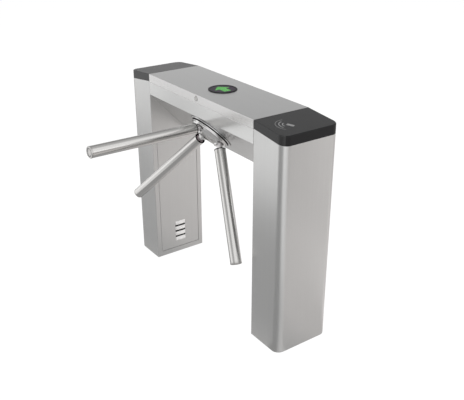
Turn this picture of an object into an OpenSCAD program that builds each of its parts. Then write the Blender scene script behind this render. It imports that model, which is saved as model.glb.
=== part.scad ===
// Tripod turnstile: two legs, a bridge, and a rotor with three arms on an inclined shaft.
// The origin lies on the floor, midway between the legs. +X runs along the bridge,
// -Y is the side that people walk past, and +Z is up.

/* [Cabinet] */
// Overall length along the bridge
cabinet_length = 1200; // [1100:10:1400]
// Depth of the legs and the bridge
cabinet_depth = 280; // [270:1:320]
// Height of the lid's top above the floor
cabinet_height = 1000; // [960:10:1060]
// Length of one leg along the bridge
leg_length = 185; // [170:1:200]
// Radius of the outer upright corners
corner_radius = 35; // [20:1:45]
// Thickness of the folded stainless sheet
sheet = 1.5; // [1.2:0.1:2]
// Height of the bridge from its underside to the lid's top
bridge_height = 300; // [290:1:320]
// Height of the upright front face, lid flange included
front_face_height = 100; // [95:1:110]
// Height of the lid's flanges
lid_flange = 35; // [30:1:38]

/* [End caps] */
// Height of a cap at the bridge
cap_inner_height = 35; // [30:1:38]
// Fall of the cap's top towards its outer end
cap_top_fall = 17; // [8:1:20]
// Fall of the cap's lower edge towards its outer end
cap_base_fall = 22.6; // [20:0.1:28]
// Wall of the moulded cap
cap_wall = 3; // [2:0.1:4]
// Depth of the skirt that plugs into the leg
cap_skirt = 12; // [6:1:20]
// Radius of the cap's top edge
cap_round = 4; // [2:0.5:6]

/* [Doors] */
// Border of the leg's inner face beside the door
door_side_border = 24; // [22:1:32]
// Border below the door
door_foot_border = 27; // [20:1:40]
// Border between the door and the bridge
door_head_border = 12; // [8:1:30]
// Seam round a door
door_seam = 2; // [1.5:0.1:3]
// Fold along a door's head and foot
door_fold = 12; // [8:1:16]
// Length of one louvre
louvre_length = 62; // [40:1:70]
// Height of one louvre's hood
louvre_hood = 21; // [14:1:22]
// Step from one louvre to the next
louvre_pitch = 31; // [30:0.5:34]
// How far a hood stands out
louvre_rise = 5.5; // [3:0.5:7]
// Number of hoods
louvre_count = 4; // [2:1:5]
// Height of the lowest hood's foot above the floor
louvre_base = 66; // [60:1:90]
// Place of the louvres across the door
louvre_offset = 1; // [0:1:30]
// Height of the door lock above the floor
door_lock_height = 490; // [420:1:600]

/* [Rotor] */
// Angle of the shaft below the horizontal
hub_tilt = 43; // [42:0.5:45]
// Distance from the front fold down the inclined face to the shaft
hub_drop = 110; // [106:1:114]
// Depth of the point where the arms' axes meet, behind the inclined face
apex_depth = 40; // [38:1:44]
// Angle between an arm and the shaft
arm_spread = 45; // [44:0.5:46]
// Turn of the rotor at rest
rest_turn = 5.7; // [0:0.1:8]
// Distance from the apex to an arm's tip
arm_reach = 635; // [560:5:660]
// Diameter of an arm's tube
arm_tube_d = 50; // [44:0.5:51]
// Wall of an arm's tube
arm_wall = 2; // [1.5:0.1:2.5]
// Distance from the apex to the tube's mouth
arm_start = 122; // [120:1:130]
// Diameter of the rotor's rim
rotor_rim_d = 192; // [184:1:193]
// Thickness of the rotor's rim
rotor_rim_t = 9; // [7:0.5:10]
// Rise of the hub's dome above the rim
dome_rise = 28; // [26:0.5:32]
// Diameter of a socket
socket_d = 48; // [44:0.5:50]
// Distance from the apex to a socket's end
socket_end = 100; // [96:1:106]
// Diameter of the polished spigot in a socket
spigot_d = 26; // [20:0.5:30]
// Diameter of the fixed ring round the rotor
flange_d = 219; // [214:1:220]
// Width of the gap between the rotor's rim and the ring
rim_gap = 4; // [2:0.5:6]

/* [Mechanism] */
// Distance between the front and rear plates' far faces
frame_depth = 116; // [114:1:120]
// Thickness of the frame plates
plate_t = 8; // [6:0.5:10]
// Diameter of the shaft in the front bearing
shaft_d = 30; // [28:1:32]
// Diameter of the shaft in the rear bearing
tail_d = 25; // [22:1:26]
// Outer diameter of the front bearing
front_bearing_d = 62; // [58:1:66]
// Width of the front bearing
front_bearing_w = 16; // [14:1:18]
// Outer diameter of the rear bearing
rear_bearing_d = 52; // [47:1:55]
// Width of the rear bearing
rear_bearing_w = 15; // [12:1:16]
// Gear module
gear_module = 2; // [2:0.01:2.02]
// Teeth of the gear on the shaft
gear_teeth = 60; // [56:4:60]
// Teeth of the motor's pinion
pinion_teeth = 15; // [14:1:16]
// Width of the gear's rim
gear_w = 10; // [8:0.5:12]
// Play between the gears' flanks
gear_play = 0.5; // [0.4:0.05:0.7]
// Diameter of the locking wheel
wheel_d = 88; // [86:1:90]
// Thickness of the locking wheel
wheel_t = 10; // [8:0.5:10]
// Notches in the locking wheel
notch_count = 12; // [12:12:12]
// Width of a notch
notch_w = 9; // [9:0.1:10]
// Depth of a notch
notch_depth = 8; // [7:0.5:9]
// Stroke angle of a pawl
pawl_stroke = 10.5; // [8:0.5:10.5]
// Diameter of the drive motor
motor_d = 56; // [50:1:58]
// Length of the drive motor
motor_length = 78; // [60:1:80]

/* [Lid fittings] */
// Diameter of the indicator's rim
indicator_d = 130; // [110:1:140]
// Width of the indicator's rim
indicator_rim = 8; // [5:0.5:12]
// Rise of the indicator above the lid
indicator_rise = 3; // [2:0.5:5]
// Diameter of the key lock's face
lock_face_d = 24; // [20:0.5:26]
// Diameter of the key lock's barrel
lock_barrel_d = 19; // [16:0.5:20]
// Largest opening angle of the lid
lid_opening = 75; // [60:1:80]

/* [Floor fixing] */
// Thickness of the floor plates
floor_plate_t = 8; // [6:0.5:12]
// Diameter of the anchor holes
anchor_hole_d = 14; // [12:0.5:18]
// Anchor spacing along the bridge
anchor_spacing_x = 110; // [90:1:120]
// Anchor spacing across the bridge
anchor_spacing_y = 200; // [180:1:210]
// Diameter of the cable entry
cable_entry_d = 60; // [40:1:70]

/* [Hidden] */
$fn = 48;

// Overrun of cuts past a face
over = 1;
// Gap between pieces that seat in each other
seat_gap = 0.3;
// Radial clearance of a shaft in a hole
running_gap = 0.03;

// Cabinet
half_length = cabinet_length / 2;
half_depth = cabinet_depth / 2;
leg_inner_x = half_length - leg_length;
lid_seam_z = cabinet_height - lid_flange;
cap_base_z = cabinet_height - cap_inner_height;
bridge_foot_z = cabinet_height - bridge_height;
fold_z = cabinet_height - front_face_height;
joggle = 5;
lip_height = 6;
lid_seam = 2;
bridge_top_z = lid_seam_z - lid_seam;
back_ledge = 15;
cap_round_steps = 4;
cap_round_fn = 32;
sliver = 0.01;
end_plate_t = 3;
window_w = 100;
window_h = 90;
window_z = cabinet_height - bridge_height / 2;
window_y = 50;
joint_bolt_d = 8;
joint_bolt_head_d = 13;
joint_bolt_head_t = 5;
joint_bolt_length = 14;
joint_bolt_nut_t = 6;

// Hub place: the shaft crosses the inclined face here
hub_y = hub_drop * sin(hub_tilt) - half_depth;
hub_z = fold_z - hub_drop * cos(hub_tilt);
face_hole_d = 92;

// Lid
lid_end_gap = 1.5;
lid_half = leg_inner_x - lid_end_gap;
hinge_inset = 6;
hinge_y = half_depth - hinge_inset;
hinge_z = cabinet_height - hinge_inset;
hinge_x = 260;
hinge_w = 24;
hinge_pin_d = 4;
hinge_ear_d = 8;
hinge_ear_w = 5;
hinge_notch_gap = 2;
hinge_foot = 50;
hinge_plate_t = 3;

// Lid lock
lock_z = cabinet_height - lid_flange / 2;
lock_face_t = 2;
lock_barrel_length = 20;
plug_d = 12;
cam_t = 3;
cam_w = 8;
cam_reach = 26;
cam_y = lock_barrel_length + 2;
keeper_clear = 8;
keeper_w = 18;
keeper_drop = 24;
keeper_gap = 3;
keeper_sheet = 1.5;

// Doors
door_half_w = half_depth - door_side_border - door_seam;
opening_half_w = half_depth - door_side_border;
opening_foot_z = door_foot_border;
opening_head_z = bridge_foot_z - door_head_border;
door_axis_depth = 8;
door_axis_inset = 8;
door_axis_y = door_half_w - door_axis_inset;
door_axis_x = leg_inner_x + door_axis_depth;
door_barrel_d = 11;
door_barrel_h = 40;
door_pin_d = 6;
door_hinge_margin = 80;
door_hinge_arm_t = 5;
door_hinge_arm_w = 9;
door_hinge_reach = 26;
door_lock_inset = 22;
door_lock_y = door_lock_inset - door_half_w;
door_cam_reach = 33;
door_barrel_length = 18;
door_lock_d = 17;
door_lock_face_d = 22;
door_stop_t = 1.5;
door_stop_lap = 6;
door_stop_w = 14;
door_catch_h = 28;
louvre_slot = 9;
louvre_end_t = 1.2;

// Rotor and flange, along the shaft: zero on the inclined face, positive outwards
flange_floor_t = 3.5;
flange_rim_h = 5;
rotor_floor = 4.5;
rotor_rim_chamfer = 2;
dome_inset = 4;
dome_steps = 10;
socket_chamfer = 4;
socket_web = 1.6;
spigot_plug_length = 30;
spigot_plug_gap = 0.1;
spigot_plug_cup = 3;
spigot_plug_rim = 4;
collar_t = 4;
collar_lip = 0.8;
collar_w = 4.5;
tip_head_t = 6;
tip_lip = 0.5;
tip_round = 3;
tip_plug_length = 22;
tip_ring_w = 4;
tip_ring_depth = 1.2;
arm_screw_d = 8;
arm_screw_place = 90;
arm_screw_sunk = 1;
arm_screw_turn = 40;
arm_screw_hex = 4.6;
hub_seat_d = 28;
shaft_front = 28;
hub_web = 4;
hub_recess_d = 34;
hub_bolt_d = 10;
hub_bolt_head_d = 16;
hub_bolt_head_t = 8;
hub_bolt_length = 24;
hub_bolt_hex = 9.2;
key_w = 8;
key_h = 7;
key_length = 18;
key_sunk = 4;

// Frame, along the shaft: depths behind the inclined face are negative
front_plate_z = -sheet - plate_t;
rear_plate_z = front_plate_z - frame_depth;
front_plate_left = 95;
front_plate_right = 112;
front_plate_half_h = 104;
rear_plate_right = 76;
rear_plate_half_h = 72;
plate_round = 10;
pillar_d = 14;
pillar_left = 80;
pillar_right = 60;
pillar_y = 62;
nose_z = 3;
nose_bore_d = 36;
nose_lip = 12;
front_housing_d = 80;
housing_flange_d = 112;
housing_flange_t = 8;
front_housing_back = nose_z - nose_lip - front_bearing_w - 4 * running_gap;
rear_housing_d = 68;
rear_lip = 2;
rear_bore_d = 34;
tail_step_z = rear_plate_z + 18;
bearing_groove = 1;
bearing_ring_share = 0.28;
screw_circle_d = 160;
screw_d = 6;
screw_head_d = 12;
screw_count = 4;
screw_start_turn = 20;

// Wheels on the shaft
gear_centre = gear_module * (gear_teeth + pinion_teeth) / 2;
gear_z = front_plate_z - 42.5;
gear_boss_d = 44;
gear_boss_t = 8;
gear_web_holes = 6;
gear_web_hole_d = 22;
gear_web_circle_d = 82;
pressure_angle = 20;
flank_steps = 3;
wheel_z = gear_z - gear_boss_t - 20;
wheel_boss_t = 10;
encoder_z = rear_plate_z - rear_bearing_w - rear_lip - 6;
encoder_d = 72;
encoder_t = 2.5;
encoder_hub_d = 36;
encoder_hub_t = 8;
encoder_slots = 24;
encoder_slot_w = 3;
encoder_slot_h = 8;
encoder_slot_margin = 4;
shaft_tail_z = encoder_z - encoder_hub_t - 4;

// Pawls and solenoids, in the upper set's place; the lower set is its mirror image
pawl_x = -42;
pawl_y = 60;
pawl_t = 8;
pawl_boss_d = 18;
pawl_bar_w = 10;
pawl_pin_d = 8;
pawl_tooth_w = 5;
pawl_tooth_x = 2;
pawl_release = 2.5;
pawl_arm = 72;
pawl_tail = 7;
link_pin_d = 5;
link_play = 0.4;
link_slide = 1.5;
plunger_d = 12;
plunger_length = 50;
plunger_foot = 6;
plunger_slot_extra = 1;
plunger_slot_h = 16;
plunger_collar_d = 18;
plunger_collar_t = 2;
plunger_collar_lift = 6;
solenoid_w = 26;
solenoid_h = 30;
solenoid_lift = 18;
solenoid_gap = 0.08;
coil_show = 2;
bracket_t = 3;
spring_wire = 1.8;
spring_gap = 0.3;
pawl_z = wheel_z + (wheel_t - pawl_t) / 2;
link_x = pawl_x + pawl_arm;
link_y = pawl_y + 2;

// Motor
motor_plate_t = 5;
motor_plate_gap = 5;
motor_plate_z = gear_z - motor_plate_gap - motor_plate_t;
motor_plate_left = 38;
motor_plate_half_h = 42;
motor_post_d = 12;
motor_post_x = 104;
motor_post_y = 34;
motor_shaft_d = 10;
motor_shaft_sunk = 12;
motor_cap_d = 46;
motor_cap_t = 6;
motor_clearance = 2;

// Sensor
fork_w = 16;
fork_depth = 14;
fork_slot = 6;
fork_bite = 8;
fork_back = 8;

// Indicator
indicator_flange_t = 2;
indicator_cup_depth = 18;
indicator_cup_wall = 2;
lens_t = 4;
lens_sunk = 0.8;
arrow_t = 1.2;
arrow_length = 80;
arrow_head_length = 40;
arrow_head_w = 82;
arrow_stem_w = 36;

// Electronics
electronics_end_gap = 85;
electronics_rise = 95;
board_w = 160;
board_h = 100;
board_t = 1.6;
board_x = leg_inner_x - electronics_end_gap - board_w / 2;
board_post_d = 7;
board_post_length = 10;
board_post_inset = 8;
chip_shares = [[0.2, 0.25, 0.2, 0.18, 7], [0.55, 0.3, 0.12, 0.3, 12], [0.3, 0.62, 0.34, 0.16, 14]];
supply_w = 160;
supply_h = 98;
supply_d = 42;
supply_x = electronics_end_gap + supply_w / 2 - leg_inner_x;
supply_vents = 9;
supply_vent_w = 6;
supply_vent_h = 50;
supply_skin = 2;
reader_w = 86;
reader_l = 70;
reader_t = 9;
reader_x = 92;
reader_post_d = 8;
reader_drop = 12;
electronics_z = bridge_foot_z + electronics_rise;

// Helpers

function unit(v) = v / norm(v);
function left_normal(a, b) = let (d = unit(b - a)) [-d.y, d.x];

// The point beside a fold of a sheet of thickness t, on the sheet's other face
function fold_point(a, b, c, t) =
    let (n = left_normal(a, b), m = left_normal(b, c)) b + t * (n + m) / (1 + n * m);

function other_face(path, t) =
    [for (i = [0 : len(path) - 1])
        i == 0 ? path[0] + t * left_normal(path[0], path[1])
        : i == len(path) - 1 ? path[i] + t * left_normal(path[i - 1], path[i])
        : fold_point(path[i - 1], path[i], path[i + 1], t)];

function reversed(list) = [for (i = [len(list) - 1 : -1 : 0]) list[i]];

// Section of a folded sheet: its outer face follows the path, the metal lies to its left
module folded_section(path, t) {
    polygon(concat(path, reversed(other_face(path, t))));
}

// Extrudes a section drawn in Y and Z along X, centred
module along_x(length) {
    translate([-length / 2, 0, 0])
        rotate([90, 0, 90])
            linear_extrude(length) children();
}

// Extrudes a section drawn in X and Z along Y, centred
module along_y(length) {
    translate([0, length / 2, 0])
        rotate([90, 0, 0])
            linear_extrude(length) children();
}

// A box given by its two corners
module box(low, high) {
    translate(low) cube(high - low);
}

module ring(outer_d, inner_d, height) {
    difference() {
        cylinder(d = outer_d, h = height);
        translate([0, 0, -over]) cylinder(d = inner_d, h = height + 2 * over);
    }
}

// A rectangle with round corners, between two corner points
module round_rect(low, high, r) {
    translate([low.x + r, low.y]) square([high.x - low.x - 2 * r, high.y - low.y]);
    translate([low.x, low.y + r]) square([high.x - low.x, high.y - low.y - 2 * r]);
    for (x = [low.x + r, high.x - r])
        for (y = [low.y + r, high.y - r])
            translate([x, y]) circle(r);
}

// The far side is the near side's mirror image
module far_side() {
    mirror([1, 0, 0]) children();
}

// The shaft's own frame: origin on the inclined face, Z out along the shaft, Y up the face
module at_hub() {
    translate([0, hub_y, hub_z]) rotate([90 + hub_tilt, 0, 0]) children();
}

// An arm's own frame: origin at the apex, Z along the arm
module along_arm(turn) {
    at_hub()
        rotate([0, 0, -rest_turn - turn])
            translate([0, 0, -apex_depth])
                rotate([-arm_spread, 0, 0]) children();
}

// Legs

module leg_plan(inset, inner_share = 1) {
    x_low = leg_inner_x + inner_share * inset;
    x_high = half_length - inset;
    half = half_depth - inset;
    r = corner_radius - inset;
    translate([x_low, -half]) square([x_high - r - x_low, 2 * half]);
    translate([x_low, r - half]) square([x_high - x_low, 2 * (half - r)]);
    for (s = [-1, 1])
        translate([x_high - r, s * (half - r)]) circle(r);
}

// Side view of the leg, whose top follows the cap's sloping base; drop lowers that slope
module leg_side(drop) {
    polygon([
        [leg_inner_x, 0], [half_length, 0],
        [half_length, cap_base_z - cap_base_fall - drop], [leg_inner_x, cap_base_z - drop]
    ]);
}

module joint_bolt_places() {
    for (y = [window_y - window_w / 2 - joint_bolt_head_d, window_y + window_w / 2 + joint_bolt_head_d])
        for (z = [window_z - window_h / 2, window_z + window_h / 2])
            translate([0, y, z]) rotate([0, 90, 0]) children();
}

// A folded catch on the leg, which the lock's cam turns behind
module door_catch() {
    web_y = door_lock_y - door_cam_reach - keeper_gap - sheet;
    lip_x = leg_inner_x + door_barrel_length;
    translate([0, 0, door_lock_height - door_catch_h / 2])
        linear_extrude(door_catch_h)
            folded_section([
                [leg_inner_x + sheet, web_y], [lip_x, web_y],
                [lip_x, -opening_half_w - keeper_gap]
            ], sheet);
}

module leg() {
    difference() {
        union() {
            intersection() {
                along_y(cabinet_depth) leg_side(0);
                linear_extrude(cabinet_height)
                    difference() {
                        leg_plan(0);
                        leg_plan(sheet);
                    }
            }
            // Stop strip behind the door's free edge
            box([leg_inner_x + sheet, -opening_half_w - door_stop_w, opening_foot_z],
                [leg_inner_x + sheet + seat_gap + door_stop_t, -opening_half_w, opening_head_z]);
            box([leg_inner_x + sheet + seat_gap, -opening_half_w - door_stop_w, opening_foot_z],
                [leg_inner_x + sheet + seat_gap + door_stop_t, door_stop_lap - opening_half_w,
                    opening_head_z]);
            door_catch();
        }
        box([leg_inner_x - over, -opening_half_w, opening_foot_z],
            [leg_inner_x + sheet, opening_half_w, opening_head_z]);
        box([leg_inner_x - over, window_y - window_w / 2, window_z - window_h / 2],
            [leg_inner_x + sheet + over, window_y + window_w / 2, window_z + window_h / 2]);
        translate([leg_inner_x - over, 0, 0])
            joint_bolt_places() cylinder(d = joint_bolt_d + seat_gap, h = sheet + 2 * over);
    }
}

module floor_plate() {
    centre_x = leg_inner_x + leg_length / 2;
    difference() {
        linear_extrude(floor_plate_t) leg_plan(sheet + seat_gap);
        for (sx = [-1, 1])
            for (sy = [-1, 1])
                translate([centre_x + sx * anchor_spacing_x / 2, sy * anchor_spacing_y / 2, -over])
                    cylinder(d = anchor_hole_d, h = floor_plate_t + 2 * over);
        translate([centre_x, 0, -over])
            cylinder(d = cable_entry_d, h = floor_plate_t + 2 * over);
    }
}

module near_leg() {
    color("silver") leg();
}

module far_leg() {
    color("silver") far_side() leg();
}

module near_floor_plate() {
    color("dimgray") floor_plate();
}

module far_floor_plate() {
    color("dimgray") far_side() floor_plate();
}

// End caps

// Side view of the cap between its sloping base and top, inset by a wall
module cap_side(inset, skirt) {
    polygon([
        [leg_inner_x, cap_base_z - skirt],
        [half_length, cap_base_z - cap_base_fall - skirt],
        [half_length, cabinet_height - cap_top_fall - inset],
        [leg_inner_x, cabinet_height - inset]
    ]);
}

// A thin slice of the cap's plan in a plane that falls outwards from height z
module cap_slice(z, fall, inset) {
    slope = atan(fall / leg_length);
    translate([leg_inner_x, 0, z])
        rotate([0, slope, 0])
            linear_extrude(sliver)
                scale([1 / cos(slope), 1])
                    translate([-leg_inner_x, 0]) leg_plan(inset, 0);
}

// The cap's outside, with a round edge along its three outer sides
module cap_outside() {
    hull() {
        cap_slice(cap_base_z, cap_base_fall, 0, $fn = cap_round_fn);
        for (i = [0 : cap_round_steps])
            let (a = 90 * i / cap_round_steps)
                cap_slice(cabinet_height - sliver - cap_round * (1 - sin(a)), cap_top_fall,
                    cap_round * (1 - cos(a)), $fn = cap_round_fn);
    }
}

module cap() {
    skirt_outer = sheet + seat_gap;
    difference() {
        union() {
            cap_outside();
            intersection() {
                along_y(cabinet_depth) cap_side(cap_wall, cap_skirt);
                linear_extrude(cabinet_height) leg_plan(skirt_outer);
            }
        }
        intersection() {
            along_y(cabinet_depth) cap_side(cap_wall, cap_skirt + over);
            linear_extrude(cabinet_height) leg_plan(skirt_outer + cap_wall);
        }
    }
}

module near_cap() {
    color("dimgray") cap();
}

module far_cap() {
    color("dimgray") far_side() cap();
}

// Bridge

// The trough's outer line, from the lip inside the lid's front flange round to the back ledge
bridge_path = [
    [joggle - half_depth, bridge_top_z + lip_height],
    [joggle - half_depth, bridge_top_z],
    [-half_depth, bridge_top_z],
    [-half_depth, fold_z],
    [(fold_z - bridge_foot_z) * tan(hub_tilt) - half_depth, bridge_foot_z],
    [half_depth, bridge_foot_z],
    [half_depth, bridge_top_z],
    [half_depth - back_ledge, bridge_top_z]
];

// The keeper stands behind the front wall and hooks over the lid lock's cam
module keeper() {
    wall_y = sheet - half_depth;
    foot_z = bridge_top_z - sheet - keeper_drop;
    shelf_z = lock_z - cam_reach;
    web_y = cam_y + keeper_gap - half_depth;
    hook_z = lock_z + cam_w / 2 + keeper_gap;
    path = [
        [wall_y + keeper_sheet, foot_z],
        [wall_y + keeper_sheet, shelf_z - keeper_gap],
        [web_y + keeper_sheet, shelf_z - keeper_gap],
        [web_y + keeper_sheet, hook_z],
        [web_y - keeper_gap - cam_t, hook_z]
    ];
    translate([keeper_clear + keeper_w / 2 + cam_w / 2, 0, 0])
        along_x(keeper_w) folded_section(path, keeper_sheet);
}

module bridge() {
    color("lightgray") {
        difference() {
            along_x(2 * (leg_inner_x - seat_gap)) folded_section(bridge_path, sheet);
            at_hub() {
                translate([0, 0, -sheet - over]) cylinder(d = face_hole_d, h = sheet + 2 * over);
                screw_places() translate([0, 0, -sheet - over])
                    cylinder(d = screw_d + seat_gap, h = sheet + 2 * over);
            }
        }
        keeper();
    }
}

// Plates that close the bridge's ends and take the bolts to the legs
module end_plate() {
    inner = other_face(bridge_path, sheet + seat_gap);
    difference() {
        translate([leg_inner_x - end_plate_t / 2 - seat_gap, 0, 0])
            along_x(end_plate_t)
                polygon([
                    [inner[3].x, bridge_top_z - sheet - seat_gap],
                    inner[3], inner[4], inner[5],
                    [inner[5].x, bridge_top_z - sheet - seat_gap]
                ]);
        box([leg_inner_x - end_plate_t - over, window_y - window_w / 2, window_z - window_h / 2],
            [leg_inner_x + over, window_y + window_w / 2, window_z + window_h / 2]);
        translate([leg_inner_x - end_plate_t - over, 0, 0])
            joint_bolt_places() cylinder(d = joint_bolt_d + seat_gap, h = end_plate_t + 2 * over);
    }
}

module bridge_end_plates() {
    color("gray") {
        end_plate();
        far_side() end_plate();
    }
}

module joint_bolt() {
    rotate([180, 0, 0]) cylinder(d = joint_bolt_head_d, h = joint_bolt_head_t, $fn = 6);
    cylinder(d = joint_bolt_d, h = joint_bolt_length);
    translate([0, 0, end_plate_t + seat_gap + sheet])
        cylinder(d = joint_bolt_head_d, h = joint_bolt_nut_t, $fn = 6);
}

module joint_bolts() {
    color("darkgray")
        for (s = [0, 1])
            mirror([s, 0, 0])
                translate([leg_inner_x - end_plate_t - seat_gap, 0, 0])
                    joint_bolt_places() joint_bolt();
}

// Doors

module louvre_hood() {
    path = [
        [0, louvre_hood],
        [-louvre_rise, louvre_hood / 4],
        [-louvre_rise, 0]
    ];
    along_y(louvre_length) folded_section(path, sheet);
    for (s = [-1, 1])
        translate([0, s * (louvre_length - louvre_end_t) / 2, 0])
            along_y(louvre_end_t)
                polygon([
                    [0, louvre_hood], [-louvre_rise, louvre_hood / 4], [-louvre_rise, 0], [0, 0]
                ]);
}

module door_panel() {
    x_low = leg_inner_x;
    foot_z = opening_foot_z + door_seam;
    head_z = opening_head_z - door_seam;
    difference() {
        union() {
            box([x_low, -door_half_w, foot_z], [x_low + sheet, door_half_w, head_z]);
            // Folds along the foot and the head, short of the hinge edge
            box([x_low, door_lock_inset - door_half_w, foot_z],
                [x_low + door_fold, door_axis_y - door_lock_inset, foot_z + sheet]);
            box([x_low, door_lock_inset - door_half_w, head_z - sheet],
                [x_low + door_fold, door_axis_y - door_lock_inset, head_z]);
            // Lock housing
            translate([x_low - lock_face_t, door_lock_y, door_lock_height])
                rotate([0, 90, 0]) {
                    cylinder(d = door_lock_face_d, h = lock_face_t);
                    cylinder(d = door_lock_d, h = lock_face_t + door_barrel_length);
                }
            for (z = door_barrel_z)
                translate([door_axis_x, door_axis_y, z]) {
                    cylinder(d = door_barrel_d, h = door_barrel_h);
                    translate([-door_axis_depth + sheet / 2, -door_barrel_d / 2, 0])
                        cube([door_axis_depth - sheet / 2, sheet * 2, door_barrel_h]);
                }
        }
        for (i = [1 : louvre_count - 1])
            box([x_low - over, louvre_offset - louvre_length / 2 + louvre_end_t,
                    louvre_base + i * louvre_pitch - louvre_slot],
                [x_low + sheet + over, louvre_offset + louvre_length / 2 - louvre_end_t,
                    louvre_base + i * louvre_pitch + louvre_slot / 2]);
        translate([x_low - lock_face_t - over, door_lock_y, door_lock_height])
            rotate([0, 90, 0])
                cylinder(d = plug_d, h = lock_face_t + door_barrel_length + 2 * over);
        for (z = door_barrel_z)
            translate([door_axis_x, door_axis_y, z - over])
                cylinder(d = door_pin_d + 2 * running_gap, h = door_barrel_h + 2 * over);
    }
    for (i = [0 : louvre_count - 1])
        translate([x_low, louvre_offset, louvre_base + i * louvre_pitch]) louvre_hood();
}

door_barrel_z = [opening_foot_z + door_hinge_margin, opening_head_z - door_hinge_margin - door_barrel_h];

// A cranked arm from the leg's back wall carries the pin under a door's barrel
module door_hinge(z) {
    wall_y = half_depth - sheet;
    arm_low = door_axis_x + door_hinge_reach - door_hinge_arm_w;
    translate([0, 0, z - door_hinge_arm_t - seat_gap]) {
        linear_extrude(door_hinge_arm_t) {
            translate([door_axis_x, door_axis_y]) circle(d = door_hinge_arm_w);
            translate([door_axis_x, door_axis_y - door_hinge_arm_w / 2])
                square([door_hinge_reach, door_hinge_arm_w]);
            translate([arm_low, door_axis_y - door_hinge_arm_w / 2])
                square([door_hinge_arm_w, wall_y - door_axis_y + door_hinge_arm_w / 2]);
        }
        translate([door_axis_x, door_axis_y, 0])
            cylinder(d = door_pin_d, h = door_hinge_arm_t + door_barrel_h + seat_gap);
    }
}

module door_hinges() {
    color("gray")
        for (s = [0, 1])
            mirror([s, 0, 0])
                for (z = door_barrel_z) door_hinge(z);
}

module near_door() {
    color("lightgray") door_panel();
}

module far_door() {
    color("lightgray") far_side() door_panel();
}

// The turning part of a quarter-turn lock: plug with its key slot, and the cam behind it
module lock_plug(face_t, barrel_length, reach) {
    slot_w = plug_d / 8;
    difference() {
        cylinder(d = plug_d - 4 * running_gap, h = face_t + barrel_length + cam_t);
        translate([-slot_w / 2, -plug_d / 3, -over]) cube([slot_w, plug_d * 2 / 3, over + face_t * 2]);
    }
    translate([0, 0, face_t + barrel_length + seat_gap])
        linear_extrude(cam_t) {
            circle(d = plug_d + cam_w / 4);
            translate([-cam_w / 2, -reach]) square([cam_w, reach]);
        }
}

module door_lock() {
    translate([leg_inner_x - lock_face_t, door_lock_y, door_lock_height])
        rotate([90, 0, 90]) lock_plug(lock_face_t, door_barrel_length, door_cam_reach);
}

module near_door_lock() {
    color("gray") door_lock();
}

module far_door_lock() {
    color("gray") far_side() door_lock();
}

// Lid

module lid_hinge_places() {
    for (s = [-1, 1])
        translate([s * hinge_x, 0, 0]) children();
}

module lid() {
    path = [
        [-half_depth, lid_seam_z], [-half_depth, cabinet_height],
        [half_depth, cabinet_height], [half_depth, lid_seam_z]
    ];
    color("darkgray")
        difference() {
            union() {
                along_x(2 * lid_half) folded_section(path, -sheet);
                lid_hinge_places()
                    for (s = [-1, 1])
                        translate([s * (hinge_w / 2 + hinge_notch_gap + hinge_ear_w / 2), 0, 0])
                            lid_ear();
            }
            lid_hinge_places()
                box([-hinge_w / 2 - hinge_notch_gap, half_depth - sheet - over, lid_seam_z - over],
                    [hinge_w / 2 + hinge_notch_gap, half_depth + over, cabinet_height - sheet]);
            translate([0, 0, cabinet_height - sheet - over])
                cylinder(d = indicator_cup_d + 2 * seat_gap, h = sheet + 2 * over);
            translate([0, -half_depth - over, lock_z])
                rotate([-90, 0, 0])
                    cylinder(d = lock_barrel_d + seat_gap, h = sheet + 2 * over);
            lid_hinge_places()
                translate([-hinge_w, hinge_y, hinge_z])
                    rotate([0, 90, 0])
                        cylinder(d = hinge_pin_d + 2 * running_gap, h = 2 * hinge_w);
        }
}

// An ear under the lid's plate, round the hinge pin
module lid_ear() {
    along_x(hinge_ear_w) {
        translate([hinge_y, hinge_z]) circle(d = hinge_ear_d);
        translate([hinge_y - hinge_ear_d, hinge_z])
            square([hinge_ear_d + hinge_inset - sheet, cabinet_height - sheet - hinge_z]);
    }
}

// A bracket on the bridge's back wall reaches up to the pin
module lid_hinge_brackets() {
    wall_y = half_depth - sheet;
    pin_length = hinge_w + 2 * (hinge_notch_gap + hinge_ear_w);
    color("gray")
        lid_hinge_places() {
            along_x(hinge_w) {
                translate([wall_y - hinge_plate_t, bridge_top_z - hinge_foot])
                    square([hinge_plate_t, hinge_foot - sheet]);
                translate([half_depth - back_ledge - hinge_plate_t, bridge_top_z - hinge_plate_t - sheet])
                    square([back_ledge - sheet, hinge_plate_t]);
                translate([half_depth - back_ledge - hinge_plate_t, bridge_top_z - hinge_plate_t - sheet])
                    square([hinge_plate_t, hinge_z - bridge_top_z + hinge_plate_t + sheet]);
                translate([half_depth - back_ledge - hinge_plate_t, hinge_z - hinge_plate_t / 2])
                    square([hinge_y - half_depth + back_ledge + hinge_plate_t, hinge_plate_t]);
                translate([hinge_y, hinge_z]) circle(d = hinge_ear_d);
            }
            translate([-pin_length / 2, hinge_y, hinge_z])
                rotate([0, 90, 0]) cylinder(d = hinge_pin_d, h = pin_length);
        }
}

module at_lid_lock() {
    translate([0, -half_depth - lock_face_t, lock_z]) rotate([-90, 0, 0]) children();
}

module lid_lock_body() {
    color("silver")
        at_lid_lock()
            difference() {
                union() {
                    cylinder(d = lock_face_d, h = lock_face_t);
                    cylinder(d = lock_barrel_d, h = lock_face_t + lock_barrel_length);
                }
                translate([0, 0, -over])
                    cylinder(d = plug_d, h = lock_face_t + lock_barrel_length + 2 * over);
            }
}

// At rest the cam hangs down and the lid is free
module lid_lock_plug() {
    color("gray")
        at_lid_lock() rotate([0, 0, 180]) lock_plug(lock_face_t, lock_barrel_length, cam_reach);
}

// Indicator

indicator_cup_d = indicator_d - 2 * indicator_rim;
lens_d = indicator_cup_d - 2 * indicator_cup_wall;

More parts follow.
